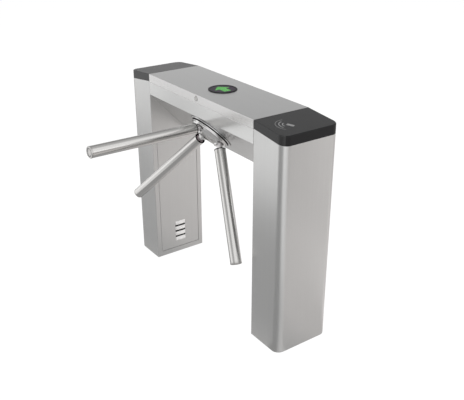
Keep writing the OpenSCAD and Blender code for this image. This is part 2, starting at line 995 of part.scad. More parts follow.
module indicator_bezel() {
    color("black")
        translate([0, 0, cabinet_height])
            difference() {
                union() {
                    rotate_extrude()
                        polygon([
                            [lens_d / 2, 0], [indicator_d / 2, 0],
                            [indicator_d / 2, indicator_rise / 2],
                            [indicator_d / 2 - indicator_rise / 2, indicator_rise],
                            [lens_d / 2, indicator_rise]
                        ]);
                    translate([0, 0, -indicator_cup_depth])
                        cylinder(d = indicator_cup_d, h = indicator_cup_depth);
                }
                translate([0, 0, indicator_cup_wall - indicator_cup_depth])
                    cylinder(d = lens_d, h = indicator_cup_depth + indicator_rise);
            }
}

module arrow_outline(gap) {
    head = arrow_length / 2;
    neck = arrow_head_length - head;
    polygon([
        [-head - gap, 0], [neck + gap / 2, arrow_head_w / 2 + gap],
        [neck + gap / 2, arrow_stem_w / 2 + gap], [head + gap, arrow_stem_w / 2 + gap],
        [head + gap, -arrow_stem_w / 2 - gap], [neck + gap / 2, -arrow_stem_w / 2 - gap],
        [neck + gap / 2, -arrow_head_w / 2 - gap]
    ]);
}

lens_top_z = cabinet_height + indicator_rise - lens_sunk;

module indicator_lens() {
    color("midnightblue")
        difference() {
            translate([0, 0, lens_top_z - lens_t])
                cylinder(d = lens_d - seat_gap, h = lens_t);
            translate([0, 0, lens_top_z - arrow_t])
                linear_extrude(arrow_t + over) arrow_outline(0);
        }
}

module indicator_arrow() {
    color("limegreen")
        translate([0, 0, lens_top_z - arrow_t])
            linear_extrude(arrow_t) arrow_outline(-seat_gap / 3);
}

// Hub flange and frame

module screw_places() {
    for (i = [0 : screw_count - 1])
        rotate([0, 0, screw_start_turn + i * 360 / screw_count])
            translate([screw_circle_d / 2, 0, 0]) children();
}

// A dish on the inclined face: its rim is the ring that shows round the rotor
module hub_flange() {
    inner_r = rotor_rim_d / 2 + rim_gap;
    color("silver")
        at_hub()
            difference() {
                rotate_extrude()
                    polygon([
                        [face_hole_d / 2, 0], [flange_d / 2, 0],
                        [flange_d / 2, flange_rim_h - sheet], [flange_d / 2 - sheet, flange_rim_h],
                        [inner_r, flange_rim_h], [inner_r, flange_floor_t],
                        [face_hole_d / 2, flange_floor_t]
                    ]);
                screw_places() {
                    translate([0, 0, -over]) cylinder(d = screw_d + seat_gap, h = flange_floor_t + 2 * over);
                    translate([0, 0, flange_floor_t - (screw_head_d - screw_d) / 2])
                        cylinder(d1 = screw_d + seat_gap, d2 = screw_head_d + seat_gap,
                            h = (screw_head_d - screw_d) / 2);
                }
            }
}

module frame_screws() {
    cone_h = (screw_head_d - screw_d) / 2;
    color("darkgray")
        at_hub()
            screw_places()
                difference() {
                    union() {
                        translate([0, 0, flange_floor_t - cone_h])
                            cylinder(d1 = screw_d, d2 = screw_head_d, h = cone_h);
                        translate([0, 0, front_plate_z])
                            cylinder(d = screw_d, h = flange_floor_t - cone_h - front_plate_z);
                    }
                    translate([0, 0, flange_floor_t - cone_h / 2])
                        cylinder(d = screw_d / 2, h = cone_h, $fn = 6);
                }
}

module front_plate() {
    color("slategray")
        at_hub()
            translate([0, 0, front_plate_z])
                difference() {
                    linear_extrude(plate_t)
                        round_rect([-front_plate_left, -front_plate_half_h],
                            [front_plate_right, front_plate_half_h], plate_round);
                    translate([0, 0, -over])
                        cylinder(d = front_housing_d + seat_gap, h = plate_t + 2 * over);
                    screw_places() translate([0, 0, -over])
                        cylinder(d = screw_d + seat_gap, h = plate_t + 2 * over);
                }
}

module rear_plate() {
    color("slategray")
        at_hub()
            translate([0, 0, rear_plate_z])
                difference() {
                    linear_extrude(plate_t)
                        round_rect([-front_plate_left, -rear_plate_half_h],
                            [rear_plate_right, rear_plate_half_h], plate_round);
                    translate([0, 0, -over]) {
                        cylinder(d = rear_bore_d, h = plate_t + 2 * over);
                        translate([gear_centre, 0, 0])
                            cylinder(d = motor_d + 2 * motor_clearance, h = plate_t + 2 * over);
                    }
                }
}

module frame_pillars() {
    color("darkgray")
        at_hub()
            for (x = [-pillar_left, pillar_right])
                for (s = [-1, 1])
                    translate([x, s * pillar_y, rear_plate_z + plate_t])
                        cylinder(d = pillar_d, h = frame_depth - plate_t);
}

module front_housing() {
    seat_r = front_bearing_d / 2 + running_gap;
    seat_top = nose_z - nose_lip;
    flange_z = front_plate_z - housing_flange_t;
    color("gray")
        at_hub()
            rotate_extrude()
                polygon([
                    [nose_bore_d / 2, nose_z], [front_housing_d / 2, nose_z],
                    [front_housing_d / 2, front_plate_z], [housing_flange_d / 2, front_plate_z],
                    [housing_flange_d / 2, flange_z], [front_housing_d / 2, flange_z],
                    [front_housing_d / 2, front_housing_back], [seat_r, front_housing_back],
                    [seat_r, seat_top], [nose_bore_d / 2, seat_top]
                ]);
}

module rear_housing() {
    seat_r = rear_bearing_d / 2 + running_gap;
    lip_z = rear_plate_z - rear_bearing_w;
    color("gray")
        at_hub()
            rotate_extrude()
                polygon([
                    [seat_r, rear_plate_z], [rear_housing_d / 2, rear_plate_z],
                    [rear_housing_d / 2, lip_z - rear_lip], [rear_bore_d / 2, lip_z - rear_lip],
                    [rear_bore_d / 2, lip_z], [seat_r, lip_z]
                ]);
}

// A ball bearing seen from outside: two rings with a sunk shield between them
module ball_bearing(outer_d, inner_d, width) {
    ring_w = (outer_d - inner_d) / 2 * bearing_ring_share;
    rotate_extrude()
        polygon([
            [inner_d / 2, 0], [inner_d / 2 + ring_w, 0],
            [inner_d / 2 + ring_w, bearing_groove], [outer_d / 2 - ring_w, bearing_groove],
            [outer_d / 2 - ring_w, 0], [outer_d / 2, 0],
            [outer_d / 2, width], [outer_d / 2 - ring_w, width],
            [outer_d / 2 - ring_w, width - bearing_groove],
            [inner_d / 2 + ring_w, width - bearing_groove],
            [inner_d / 2 + ring_w, width], [inner_d / 2, width]
        ]);
}

module front_bearing() {
    color("silver")
        at_hub()
            translate([0, 0, nose_z - nose_lip - front_bearing_w])
                ball_bearing(front_bearing_d, shaft_d, front_bearing_w);
}

module rear_bearing() {
    color("silver")
        at_hub()
            translate([0, 0, rear_plate_z - rear_bearing_w])
                ball_bearing(rear_bearing_d, tail_d, rear_bearing_w);
}

// Rotor

// The spigots end just above the hub's floor
spigot_root = (apex_depth + rotor_floor + socket_web + spigot_d / 2 * sin(arm_spread))
    / cos(arm_spread);

module rotor_shaft() {
    color("silver")
        at_hub()
            difference() {
                rotate_extrude()
                    polygon([
                        [0, shaft_front], [hub_seat_d / 2, shaft_front],
                        [hub_seat_d / 2, 0], [shaft_d / 2 - running_gap, 0],
                        [shaft_d / 2 - running_gap, tail_step_z],
                        [tail_d / 2 - running_gap, tail_step_z],
                        [tail_d / 2 - running_gap, shaft_tail_z], [0, shaft_tail_z]
                    ]);
                translate([0, 0, shaft_front - hub_bolt_length])
                    cylinder(d = hub_bolt_d + 2 * running_gap, h = hub_bolt_length + over);
                key_slot(seat_gap / 3);
            }
}

module key_slot(gap) {
    translate([-key_w / 2 - gap, hub_seat_d / 2 - key_sunk - gap, shaft_front - key_length - hub_web])
        cube([key_w + 2 * gap, key_h + 2 * gap, key_length + gap]);
}

module hub_key() {
    color("dimgray") at_hub() key_slot(0);
}

// Half section of the hub: a chamfered rim under an elliptical dome
function dome_points() =
    let (a = rotor_rim_d / 2 - dome_inset, z_low = rotor_floor + rotor_rim_t)
        [for (i = [0 : dome_steps]) let (t = 90 * i / dome_steps)
            [a * cos(t), z_low + dome_rise * sin(t)]];

module hub() {
    rim_r = rotor_rim_d / 2;
    rim_top = rotor_floor + rotor_rim_t;
    color("gray")
        difference() {
            union() {
                at_hub()
                    rotate_extrude()
                        polygon(concat(
                            [[0, rotor_floor], [rim_r, rotor_floor],
                                [rim_r, rim_top - rotor_rim_chamfer], [rim_r - rotor_rim_chamfer, rim_top]],
                            dome_points()));
                for (turn = [0, 120, 240])
                    intersection() {
                        along_arm(turn) {
                            translate([0, 0, apex_depth])
                                cylinder(d = socket_d, h = socket_end - socket_chamfer - apex_depth);
                            translate([0, 0, socket_end - socket_chamfer])
                                cylinder(d1 = socket_d, d2 = socket_d - 2 * socket_chamfer,
                                    h = socket_chamfer);
                        }
                        at_hub() translate([0, 0, rotor_floor])
                            cylinder(d = rotor_rim_d * 2, h = rotor_rim_d);
                    }
            }
            at_hub() {
                translate([0, 0, rotor_floor - over])
                    cylinder(d = hub_seat_d + 2 * running_gap, h = shaft_front - rotor_floor + over);
                cylinder(d = hub_bolt_d + seat_gap, h = rotor_rim_d);
                translate([0, 0, shaft_front + hub_web])
                    cylinder(d = hub_recess_d, h = rotor_rim_d);
                key_slot(seat_gap / 3);
            }
            for (turn = [0, 120, 240])
                along_arm(turn) {
                    translate([0, 0, spigot_root])
                        cylinder(d = spigot_d + 2 * running_gap, h = socket_end);
                    arm_screw_place() cylinder(d = arm_screw_d + seat_gap, h = socket_d);
                }
        }
}

// A grub screw's own frame: Z runs out of the socket
module arm_screw_place() {
    translate([0, 0, arm_screw_place])
        rotate([0, 0, -arm_screw_turn])
            rotate([-90, 0, 0]) children();
}

module hub_bolt() {
    head_z = shaft_front + hub_web;
    color("darkgray")
        at_hub()
            difference() {
                union() {
                    translate([0, 0, head_z]) cylinder(d = hub_bolt_head_d, h = hub_bolt_head_t);
                    translate([0, 0, head_z - hub_bolt_length])
                        cylinder(d = hub_bolt_d, h = hub_bolt_length);
                }
                translate([0, 0, head_z + hub_bolt_head_t / 2])
                    cylinder(d = hub_bolt_hex, h = hub_bolt_head_t, $fn = 6);
            }
}

module arm_screws() {
    top = socket_d / 2 - arm_screw_sunk;
    color("black")
        for (turn = [0, 120, 240])
            along_arm(turn)
                arm_screw_place()
                    difference() {
                        translate([0, 0, spigot_d / 2 + running_gap])
                            cylinder(d = arm_screw_d, h = top - spigot_d / 2 - running_gap);
                        translate([0, 0, top - arm_screw_hex])
                            cylinder(d = arm_screw_hex, h = arm_screw_hex + over, $fn = 6);
                    }
}

// A turned spigot: its root sits in the hub's socket, its head plugs the tube's mouth
module arm_spigots() {
    plug_r = arm_tube_d / 2 - arm_wall - spigot_plug_gap;
    color("whitesmoke")
        for (turn = [0, 120, 240])
            along_arm(turn)
                rotate_extrude()
                    polygon([
                        [0, spigot_root + seat_gap], [spigot_d / 2, spigot_root + seat_gap],
                        [spigot_d / 2, arm_start + spigot_plug_cup],
                        [plug_r - spigot_plug_rim, arm_start + spigot_plug_cup],
                        [plug_r - spigot_plug_rim, arm_start], [plug_r, arm_start],
                        [plug_r, arm_start + spigot_plug_length],
                        [0, arm_start + spigot_plug_length]
                    ]);
}

module arm_collars() {
    outer_r = arm_tube_d / 2 + collar_lip;
    color("black")
        for (turn = [0, 120, 240])
            along_arm(turn)
                rotate_extrude()
                    polygon([
                        [outer_r - collar_w, arm_start], [outer_r - collar_w, arm_start - collar_t],
                        [outer_r - collar_lip, arm_start - collar_t],
                        [outer_r, arm_start - collar_t + collar_lip], [outer_r, arm_start]
                    ]);
}

module arm_tube(turn) {
    color("whitesmoke")
        along_arm(turn)
            translate([0, 0, arm_start])
                ring(arm_tube_d, arm_tube_d - 2 * arm_wall, arm_reach - tip_head_t - arm_start);
}

module arm_tube_a() {
    arm_tube(0);
}

module arm_tube_b() {
    arm_tube(240);
}

module arm_tube_c() {
    arm_tube(120);
}

// A domed plug with a sunk ring in its face
module arm_tips() {
    head_r = arm_tube_d / 2 + tip_lip;
    plug_r = arm_tube_d / 2 - arm_wall - spigot_plug_gap;
    base = arm_reach - tip_head_t;
    ring_r = head_r - tip_round - tip_ring_w;
    color("gainsboro")
        for (turn = [0, 120, 240])
            along_arm(turn)
                rotate_extrude()
                    polygon([
                        [0, base - tip_plug_length], [plug_r, base - tip_plug_length],
                        [plug_r, base], [head_r, base],
                        [head_r, arm_reach - tip_round],
                        [head_r - tip_round / 3, arm_reach - tip_round / 3],
                        [head_r - tip_round, arm_reach],
                        [ring_r + tip_ring_depth, arm_reach],
                        [ring_r, arm_reach - tip_ring_depth],
                        [0, arm_reach - tip_ring_depth]
                    ]);
}

// Gears

function involute(angle) = tan(angle) * 180 / PI - angle;

// Half the angle that a tooth takes at radius r
function tooth_half_angle(r, teeth) =
    let (pitch_r = gear_module * teeth / 2,
        base_r = pitch_r * cos(pressure_angle),
        here = r > base_r ? acos(base_r / r) : 0)
        90 / teeth - gear_play / 4 / pitch_r * 180 / PI
            + involute(pressure_angle) - involute(here);

module gear_section(teeth) {
    pitch_r = gear_module * teeth / 2;
    root_r = pitch_r - gear_module * 1.25;
    tip_r = pitch_r + gear_module * 0.95;
    radii = [for (i = [0 : flank_steps]) root_r + (tip_r - root_r) * i / flank_steps];
    polygon([
        for (k = [0 : teeth - 1])
            for (side = [-1, 1])
                for (i = [0 : flank_steps])
                    let (r = radii[side < 0 ? i : flank_steps - i],
                        a = 360 * k / teeth - side * -tooth_half_angle(r, teeth))
                        r * [cos(a), sin(a)]
    ]);
}

module main_gear() {
    color("goldenrod")
        at_hub()
            translate([0, 0, gear_z])
                difference() {
                    union() {
                        linear_extrude(gear_w) gear_section(gear_teeth);
                        translate([0, 0, -gear_boss_t]) cylinder(d = gear_boss_d, h = gear_boss_t);
                    }
                    translate([0, 0, -gear_boss_t - over])
                        cylinder(d = shaft_d, h = gear_boss_t + gear_w + 2 * over);
                    for (i = [0 : gear_web_holes - 1])
                        rotate([0, 0, i * 360 / gear_web_holes])
                            translate([gear_web_circle_d / 2, 0, -over])
                                cylinder(d = gear_web_hole_d, h = gear_w + 2 * over);
                }
}

// Turned by half a tooth, so that a gap faces the big gear's tooth
module motor_pinion() {
    color("goldenrod")
        at_hub()
            translate([gear_centre, 0, 0]) {
                translate([0, 0, gear_z])
                    linear_extrude(gear_w)
                        rotate([0, 0, 180 + 180 / pinion_teeth]) gear_section(pinion_teeth);
                translate([0, 0, motor_plate_z - motor_shaft_sunk])
                    cylinder(d = motor_shaft_d, h = gear_z - motor_plate_z + motor_shaft_sunk);
            }
}

module drive_motor() {
    color("dimgray")
        at_hub()
            translate([gear_centre, 0, motor_plate_z - motor_length])
                difference() {
                    union() {
                        cylinder(d = motor_d, h = motor_length);
                        translate([0, 0, -motor_cap_t]) cylinder(d = motor_cap_d, h = motor_cap_t);
                    }
                    translate([0, 0, motor_length - motor_shaft_sunk - over])
                        cylinder(d = motor_shaft_d + 4 * running_gap, h = motor_length);
                }
}

module motor_plate() {
    color("slategray")
        at_hub()
            difference() {
                union() {
                    translate([0, 0, motor_plate_z])
                        linear_extrude(motor_plate_t)
                            round_rect([motor_plate_left, -motor_plate_half_h],
                                [front_plate_right, motor_plate_half_h], plate_round);
                    for (s = [-1, 1])
                        translate([motor_post_x, s * motor_post_y, motor_plate_z])
                            cylinder(d = motor_post_d, h = front_plate_z - motor_plate_z);
                }
                translate([gear_centre, 0, motor_plate_z - over])
                    cylinder(d = motor_shaft_d + 2 * motor_clearance, h = motor_plate_t + 2 * over);
            }
}

// Locking

module locking_wheel() {
    color("steelblue")
        at_hub()
            difference() {
                union() {
                    translate([0, 0, wheel_z])
                        linear_extrude(wheel_t)
                            difference() {
                                circle(d = wheel_d);
                                for (i = [0 : notch_count - 1])
                                    rotate([0, 0, i * 360 / notch_count])
                                        translate([-notch_w / 2, wheel_d / 2 - notch_depth])
                                            square([notch_w, notch_depth + over]);
                            }
                    translate([0, 0, wheel_z])
                        cylinder(d = gear_boss_d, h = gear_z - gear_boss_t - wheel_z);
                    translate([0, 0, wheel_z - wheel_boss_t])
                        cylinder(d = gear_boss_d, h = wheel_boss_t);
                }
                translate([0, 0, wheel_z - wheel_boss_t - over])
                    cylinder(d = shaft_d, h = gear_z - wheel_z + wheel_boss_t + 2 * over);
            }
}

module encoder_disc() {
    color("black")
        at_hub()
            translate([0, 0, encoder_z - encoder_hub_t])
                difference() {
                    union() {
                        cylinder(d = encoder_hub_d, h = encoder_hub_t);
                        translate([0, 0, encoder_hub_t - encoder_t])
                            cylinder(d = encoder_d, h = encoder_t);
                    }
                    translate([0, 0, -over])
                        cylinder(d = tail_d, h = encoder_hub_t + 2 * over);
                    for (i = [0 : encoder_slots - 1])
                        rotate([0, 0, i * 360 / encoder_slots])
                            translate([encoder_d / 2 - encoder_slot_margin - encoder_slot_h,
                                    -encoder_slot_w / 2, 0])
                                cube([encoder_slot_h, encoder_slot_w, encoder_hub_t + over]);
                }
}

// The fork reads the disc's edge and hangs on a post from the rear plate
module position_sensor() {
    disc_mid = encoder_z - encoder_t / 2;
    color("darkslategray")
        at_hub()
            difference() {
                box([-encoder_d / 2 - fork_back, -fork_w / 2, disc_mid - fork_depth / 2],
                    [-encoder_d / 2 + fork_bite, fork_w / 2, rear_plate_z]);
                box([-encoder_d / 2 - fork_back / 4, -fork_w / 2 - over, disc_mid - fork_slot / 2],
                    [0, fork_w / 2 + over, disc_mid + fork_slot / 2]);
                box([-rear_housing_d / 2 - over, -fork_w / 2 - over,
                        rear_plate_z - rear_bearing_w - rear_lip - over],
                    [0, fork_w / 2 + over, rear_plate_z + over]);
            }
}

module mirrored_set(lower) {
    mirror([0, lower ? 1 : 0, 0]) children();
}

module pawl_pins() {
    color("silver")
        at_hub()
            for (s = [-1, 1])
                translate([pawl_x, s * pawl_y, rear_plate_z + plate_t])
                    cylinder(d = pawl_pin_d - 2 * running_gap, h = frame_depth - plate_t);
}

module pawl() {
    tooth_tip_y = wheel_d / 2 + pawl_release;
    translate([0, 0, pawl_z])
        difference() {
            linear_extrude(pawl_t) {
                translate([pawl_x, pawl_y]) circle(d = pawl_boss_d);
                translate([pawl_x, pawl_y - pawl_bar_w / 2])
                    square([pawl_arm + pawl_tail, pawl_bar_w + link_y - pawl_y]);
                translate([pawl_tooth_x - pawl_tooth_w / 2, tooth_tip_y])
                    square([pawl_tooth_w, pawl_y - tooth_tip_y]);
            }
            translate([pawl_x, pawl_y, -over]) cylinder(d = pawl_pin_d, h = pawl_t + 2 * over);
            translate([0, 0, -over])
                linear_extrude(pawl_t + 2 * over) {
                    for (s = [-1, 1])
                        translate([link_x + s * link_slide, link_y])
                            circle(d = link_pin_d + 2 * link_play);
                    translate([link_x - link_slide, link_y - link_pin_d / 2 - link_play])
                        square([2 * link_slide, link_pin_d + 2 * link_play]);
                }
        }
}

module upper_pawl() {
    color("firebrick") at_hub() pawl();
}

module lower_pawl() {
    color("firebrick") at_hub() mirrored_set(true) pawl();
}

// A plunger with a forked foot that holds the link pin
module plunger() {
    foot_y = link_y - plunger_foot;
    mid_z = pawl_z + pawl_t / 2;
    translate([link_x, foot_y, mid_z])
        rotate([-90, 0, 0])
            difference() {
                union() {
                    cylinder(d = plunger_d, h = plunger_length);
                    translate([0, 0, plunger_foot + plunger_collar_lift])
                        cylinder(d = plunger_collar_d, h = plunger_collar_t);
                }
                box([-plunger_d, -pawl_t / 2 - plunger_slot_extra / 2, -over],
                    [plunger_d, pawl_t / 2 + plunger_slot_extra / 2, plunger_slot_h]);
            }
    translate([link_x, link_y, mid_z - plunger_d / 2 + link_play])
        cylinder(d = link_pin_d, h = plunger_d - 2 * link_play);
}

module upper_plunger() {
    color("silver") at_hub() plunger();
}

module lower_plunger() {
    color("silver") at_hub() mirrored_set(true) plunger();
}

// A box-frame solenoid on two webs that stand on the front plate
module solenoid() {
    mid_z = pawl_z + pawl_t / 2;
    low_y = link_y + solenoid_lift;
    high_y = low_y + solenoid_h;
    half = solenoid_w / 2;
    difference() {
        union() {
            box([link_x - half, low_y, mid_z - half], [link_x + half, high_y, mid_z + half]);
            for (s = [-1, 1])
                translate([link_x + s * (half - bracket_t / 2) - bracket_t / 2, low_y, mid_z + half])
                    cube([bracket_t, solenoid_h - coil_show, front_plate_z - mid_z - half]);
        }
        translate([link_x, low_y - over, mid_z])
            rotate([-90, 0, 0])
                cylinder(d = plunger_d + 2 * solenoid_gap, h = solenoid_h + 2 * over);
        for (s = [-1, 1])
            translate([link_x + s * half - bracket_t / 2, low_y + bracket_t, mid_z - half - over])
                cube([bracket_t, solenoid_h - 2 * bracket_t, solenoid_w - bracket_t + over]);
    }
}

module upper_solenoid() {
    color("olive") at_hub() solenoid();
}

module lower_solenoid() {
    color("olive") at_hub() mirrored_set(true) solenoid();
}

// The springs stand between the plungers' collars and the solenoids
module plunger_springs() {
    mid_z = pawl_z + pawl_t / 2;
    low_y = link_y + plunger_collar_lift + plunger_collar_t;
    color("lightsteelblue")
        at_hub()
            for (lower = [false, true])
                mirrored_set(lower)
                    translate([link_x, low_y + spring_gap, mid_z])
                        rotate([-90, 0, 0])
                            ring(plunger_d + 2 * spring_gap + 2 * spring_wire,
                                plunger_d + 2 * spring_gap,
                                solenoid_lift - plunger_collar_lift - plunger_collar_t - 2 * spring_gap);
}

// Electronics

module card_reader() {
    slope = atan(cap_top_fall / leg_length);
    color("darkgreen")
        translate([leg_inner_x, 0, cabinet_height])
            rotate([0, slope, 0]) {
                translate([reader_x - reader_l / 2, -reader_w / 2, -cap_wall - reader_drop - reader_t])
                    cube([reader_l, reader_w, reader_t]);
                for (sx = [-1, 1])
                    for (sy = [-1, 1])
                        translate([reader_x + sx * (reader_l / 2 - reader_post_d),
                                sy * (reader_w / 2 - reader_post_d), -cap_wall - reader_drop])
                            cylinder(d = reader_post_d, h = reader_drop - seat_gap);
            }
}

module control_board() {
    wall_y = half_depth - sheet;
    face_y = wall_y - board_post_length;
    color("green")
        translate([board_x - board_w / 2, 0, electronics_z]) {
            box([0, face_y - board_t, 0], [board_w, face_y, board_h]);
            for (c = chip_shares)
                translate([c[0] * board_w, face_y - board_t, c[1] * board_h])
                    box([0, -c[4] / board_w * board_w, 0], [c[2] * board_w, 0, c[3] * board_h]);
            for (x = [board_post_inset, board_w - board_post_inset])
                for (z = [board_post_inset, board_h - board_post_inset])
                    translate([x, wall_y, z])
                        rotate([90, 0, 0]) cylinder(d = board_post_d, h = board_post_length);
        }
}

module power_supply() {
    wall_y = half_depth - sheet;
    color("lightslategray")
        translate([supply_x - supply_w / 2, wall_y - supply_d, electronics_z])
            difference() {
                cube([supply_w, supply_d, supply_h]);
                for (i = [1 : supply_vents])
                    translate([i * supply_w / (supply_vents + 1) - supply_vent_w / 2, -over,
                            (supply_h - supply_vent_h) / 2])
                        cube([supply_vent_w, supply_skin + over, supply_vent_h]);
            }
}

near_leg();
far_leg();
near_floor_plate();
far_floor_plate();
near_cap();
far_cap();
bridge();
bridge_end_plates();
joint_bolts();
door_hinges();
near_door();
far_door();
near_door_lock();
far_door_lock();
lid();
lid_hinge_brackets();
lid_lock_body();
lid_lock_plug();
indicator_bezel();
indicator_lens();
indicator_arrow();
hub_flange();
frame_screws();
front_plate();
rear_plate();
frame_pillars();
front_housing();
rear_housing();
front_bearing();
rear_bearing();
rotor_shaft();
hub_key();
hub();
hub_bolt();
arm_screws();
arm_spigots();
arm_collars();
arm_tube_a();
arm_tube_b();
arm_tube_c();
arm_tips();
main_gear();
locking_wheel();
encoder_disc();
position_sensor();
drive_motor();
motor_plate();
motor_pinion();
pawl_pins();
upper_pawl();
lower_pawl();
upper_plunger();
lower_plunger();
upper_solenoid();
lower_solenoid();
plunger_springs();
card_reader();
control_board();
power_supply();
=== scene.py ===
"""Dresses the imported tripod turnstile: finishes, fine pieces, studio light and camera."""
import logging
import math
from dataclasses import dataclass
from enum import Enum
from itertools import cycle
from typing import Sequence

import bmesh
import bpy
from mathutils import Matrix, Vector


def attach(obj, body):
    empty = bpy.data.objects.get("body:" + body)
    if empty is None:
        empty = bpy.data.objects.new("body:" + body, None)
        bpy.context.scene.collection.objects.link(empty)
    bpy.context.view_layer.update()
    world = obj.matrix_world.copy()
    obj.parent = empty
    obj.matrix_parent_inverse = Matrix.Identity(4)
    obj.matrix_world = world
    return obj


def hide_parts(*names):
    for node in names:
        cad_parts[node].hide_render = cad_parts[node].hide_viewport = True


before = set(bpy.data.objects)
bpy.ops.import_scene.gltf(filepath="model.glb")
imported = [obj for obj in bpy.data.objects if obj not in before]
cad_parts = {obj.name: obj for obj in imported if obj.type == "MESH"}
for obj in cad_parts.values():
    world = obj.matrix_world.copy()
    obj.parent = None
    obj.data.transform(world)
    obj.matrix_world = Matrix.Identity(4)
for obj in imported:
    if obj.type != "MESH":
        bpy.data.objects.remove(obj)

LOG = logging.getLogger("turnstile")
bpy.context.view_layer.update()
MM = 0.001

Flat = tuple[float, float]
Point = tuple[float, float, float]
Colour = tuple[float, float, float]
Socket = bpy.types.NodeSocket

EVEN: Point = (1.0, 1.0, 1.0)
WHITE: Colour = (1.0, 1.0, 1.0)


class Axis(Enum):
    """An axis of the frame; the value is its index."""

    ALONG_BRIDGE = 0
    ACROSS_BRIDGE = 1
    UPRIGHT = 2


class Value:
    """A number in a node tree; Python's operators on it add Math nodes."""

    def __init__(self, nodes: "NodeWriter", socket: Socket) -> None:
        """Wraps an output socket."""
        self.nodes = nodes
        self.socket = socket

    def __add__(self, other: "Value | float") -> "Value":
        """Adds."""
        return self.nodes.math("ADD", self, other)

    def __sub__(self, other: "Value | float") -> "Value":
        """Subtracts."""
        return self.nodes.math("SUBTRACT", self, other)

    def __rsub__(self, other: float) -> "Value":
        """Is subtracted from a number."""
        return self.nodes.math("SUBTRACT", other, self)

    def __mul__(self, other: "Value | float") -> "Value":
        """Multiplies."""
        return self.nodes.math("MULTIPLY", self, other)

    __radd__ = __add__
    __rmul__ = __mul__

    def between(self, low: float, high: float) -> "Value":
        """Maps the range from low to high onto 0 to 1 and holds it there."""
        return self.nodes.math("DIVIDE", self - low, high - low, clamp=True)

    def within(self, rise: Flat, fall: Flat) -> "Value":
        """Gives a band that comes up over one range and goes down over the next."""
        return self.between(*rise) * (1.0 - self.between(*fall))


class NodeWriter:
    """Writes the nodes of a tree."""

    prefix = "ShaderNode"

    def __init__(self, tree: bpy.types.NodeTree) -> None:
        """Empties the tree."""
        self.tree = tree
        tree.nodes.clear()

    @classmethod
    def of(cls, owner: bpy.types.Material | bpy.types.World) -> "NodeWriter":
        """Writes the tree of a material or world."""
        owner.use_nodes = True
        return cls(owner.node_tree)

    def add(self, kind: str, settings: dict[str, object] | None = None,
            inputs: dict[str | int, object] | None = None) -> bpy.types.Node:
        """Adds any node.

        Args:
            kind: The node's type; the tree's own prefix may be left out.
            settings: Properties that are set first; stops is a ramp's list of (place, colour).
            inputs: Values or links for the sockets, by name or number.

        Returns:
            The new node.
        """
        node = self.tree.nodes.new(kind if kind.startswith("ShaderNode") else self.prefix + kind)
        for key, setting in (settings or {}).items():
            if key == "stops":
                ramp = node.color_ramp
                while len(ramp.elements) < len(setting):
                    ramp.elements.new(1.0)
                for element, (place, colour) in zip(ramp.elements, setting):
                    element.position, element.color = place, (*colour, 1.0)
            else:
                setattr(node, key, setting)
        for key, given in (inputs or {}).items():
            given = given.socket if isinstance(given, Value) else given
            socket = node.inputs[key]
            if isinstance(given, Socket):
                self.tree.links.new(given, socket)
            else:
                socket.default_value = (*given, 1.0) if socket.type == "RGBA" else given
        return node

    def value(self, node: bpy.types.Node, output: str | int = 0) -> Value:
        """Wraps a node's output for sums."""
        return Value(self, node.outputs[output])

    def math(self, operation: str, *operands: Value | float, clamp: bool = False) -> Value:
        """Adds a Math node; with clamp its result is held between 0 and 1."""
        settings = {"operation": operation, "use_clamp": clamp}
        return self.value(self.add("ShaderNodeMath", settings, dict(enumerate(operands))))

    def place(self, scale: Point = EVEN) -> Socket:
        """Gives the point's object coordinates, scaled along each axis."""
        vector = self.add("TexCoord").outputs["Object"]
        return self.add("Mapping", inputs={"Vector": vector, "Scale": scale}).outputs[0]

    def along(self, axis: Axis) -> Value:
        """Gives one object coordinate in metres."""
        return self.value(self.add("SeparateXYZ", inputs={0: self.place()}), axis.value)

    def noise(self, scale: float, detail: float = 2.0, stretch: Point = EVEN) -> Value:
        """Gives fractal noise from 0 to 1.

        Args:
            scale: Features per metre.
            detail: Octaves of finer noise.
            stretch: A factor on each coordinate; a small one draws the pattern out.

        Returns:
            The noise.
        """
        inputs = {"Vector": self.place(stretch), "Scale": scale, "Detail": detail}
        return self.value(self.add("TexNoise", inputs=inputs))

    def cells(self, scale: float, distance: str = "EUCLIDEAN") -> Value:
        """Gives the distance to the nearest of some scattered points."""
        inputs = {"Vector": self.place(), "Scale": scale}
        return self.value(self.add("TexVoronoi", {"distance": distance}, inputs), "Distance")

    def blend(self, factor: Value, low: Colour | Socket, high: Colour | Socket,
              how: str = "MIX") -> Socket:
        """Mixes two colours by a value."""
        settings = {"data_type": "RGBA", "blend_type": how}
        return self.add("Mix", settings, {0: factor, 6: low, 7: high}).outputs[2]

    def tones(self, shade: Value, base: Colour, low: float, high: float = 1.0) -> Socket:
        """Scales a colour between two factors by the middle of a shade's range."""
        return self.blend(shade.between(0.3, 0.7), scaled(base, low), scaled(base, high))

    def bump(self, height: Value, depth: float) -> Socket:
        """Turns a height from 0 to 1, over a depth in metres, into a normal."""
        inputs = {"Strength": 1.0, "Distance": depth, "Height": height}
        return self.add("Bump", inputs=inputs).outputs[0]

    def shader(self, kind: str, **inputs: object) -> Socket:
        """Adds a shader; the names of its inputs have _ for a space."""
        named = {key.replace("_", " "): given for key, given in inputs.items()}
        return self.add(kind, inputs=named).outputs[0]

    def mixed(self, factor: Value, low: Socket, high: Socket) -> Socket:
        """Mixes two shaders by a value."""
        return self.add("MixShader", inputs={0: factor, 1: low, 2: high}).outputs[0]

    def surface(self, **inputs: object) -> None:
        """Adds the Principled shader and the material's output."""
        self.add("OutputMaterial", inputs={"Surface": self.shader("BsdfPrincipled", **inputs)})


def scaled(colour: Colour, factor: float) -> Colour:
    """Scales a colour."""
    return tuple(channel * factor for channel in colour)


def grey(level: float) -> Colour:
    """Gives a neutral colour."""
    return (level, level, level)


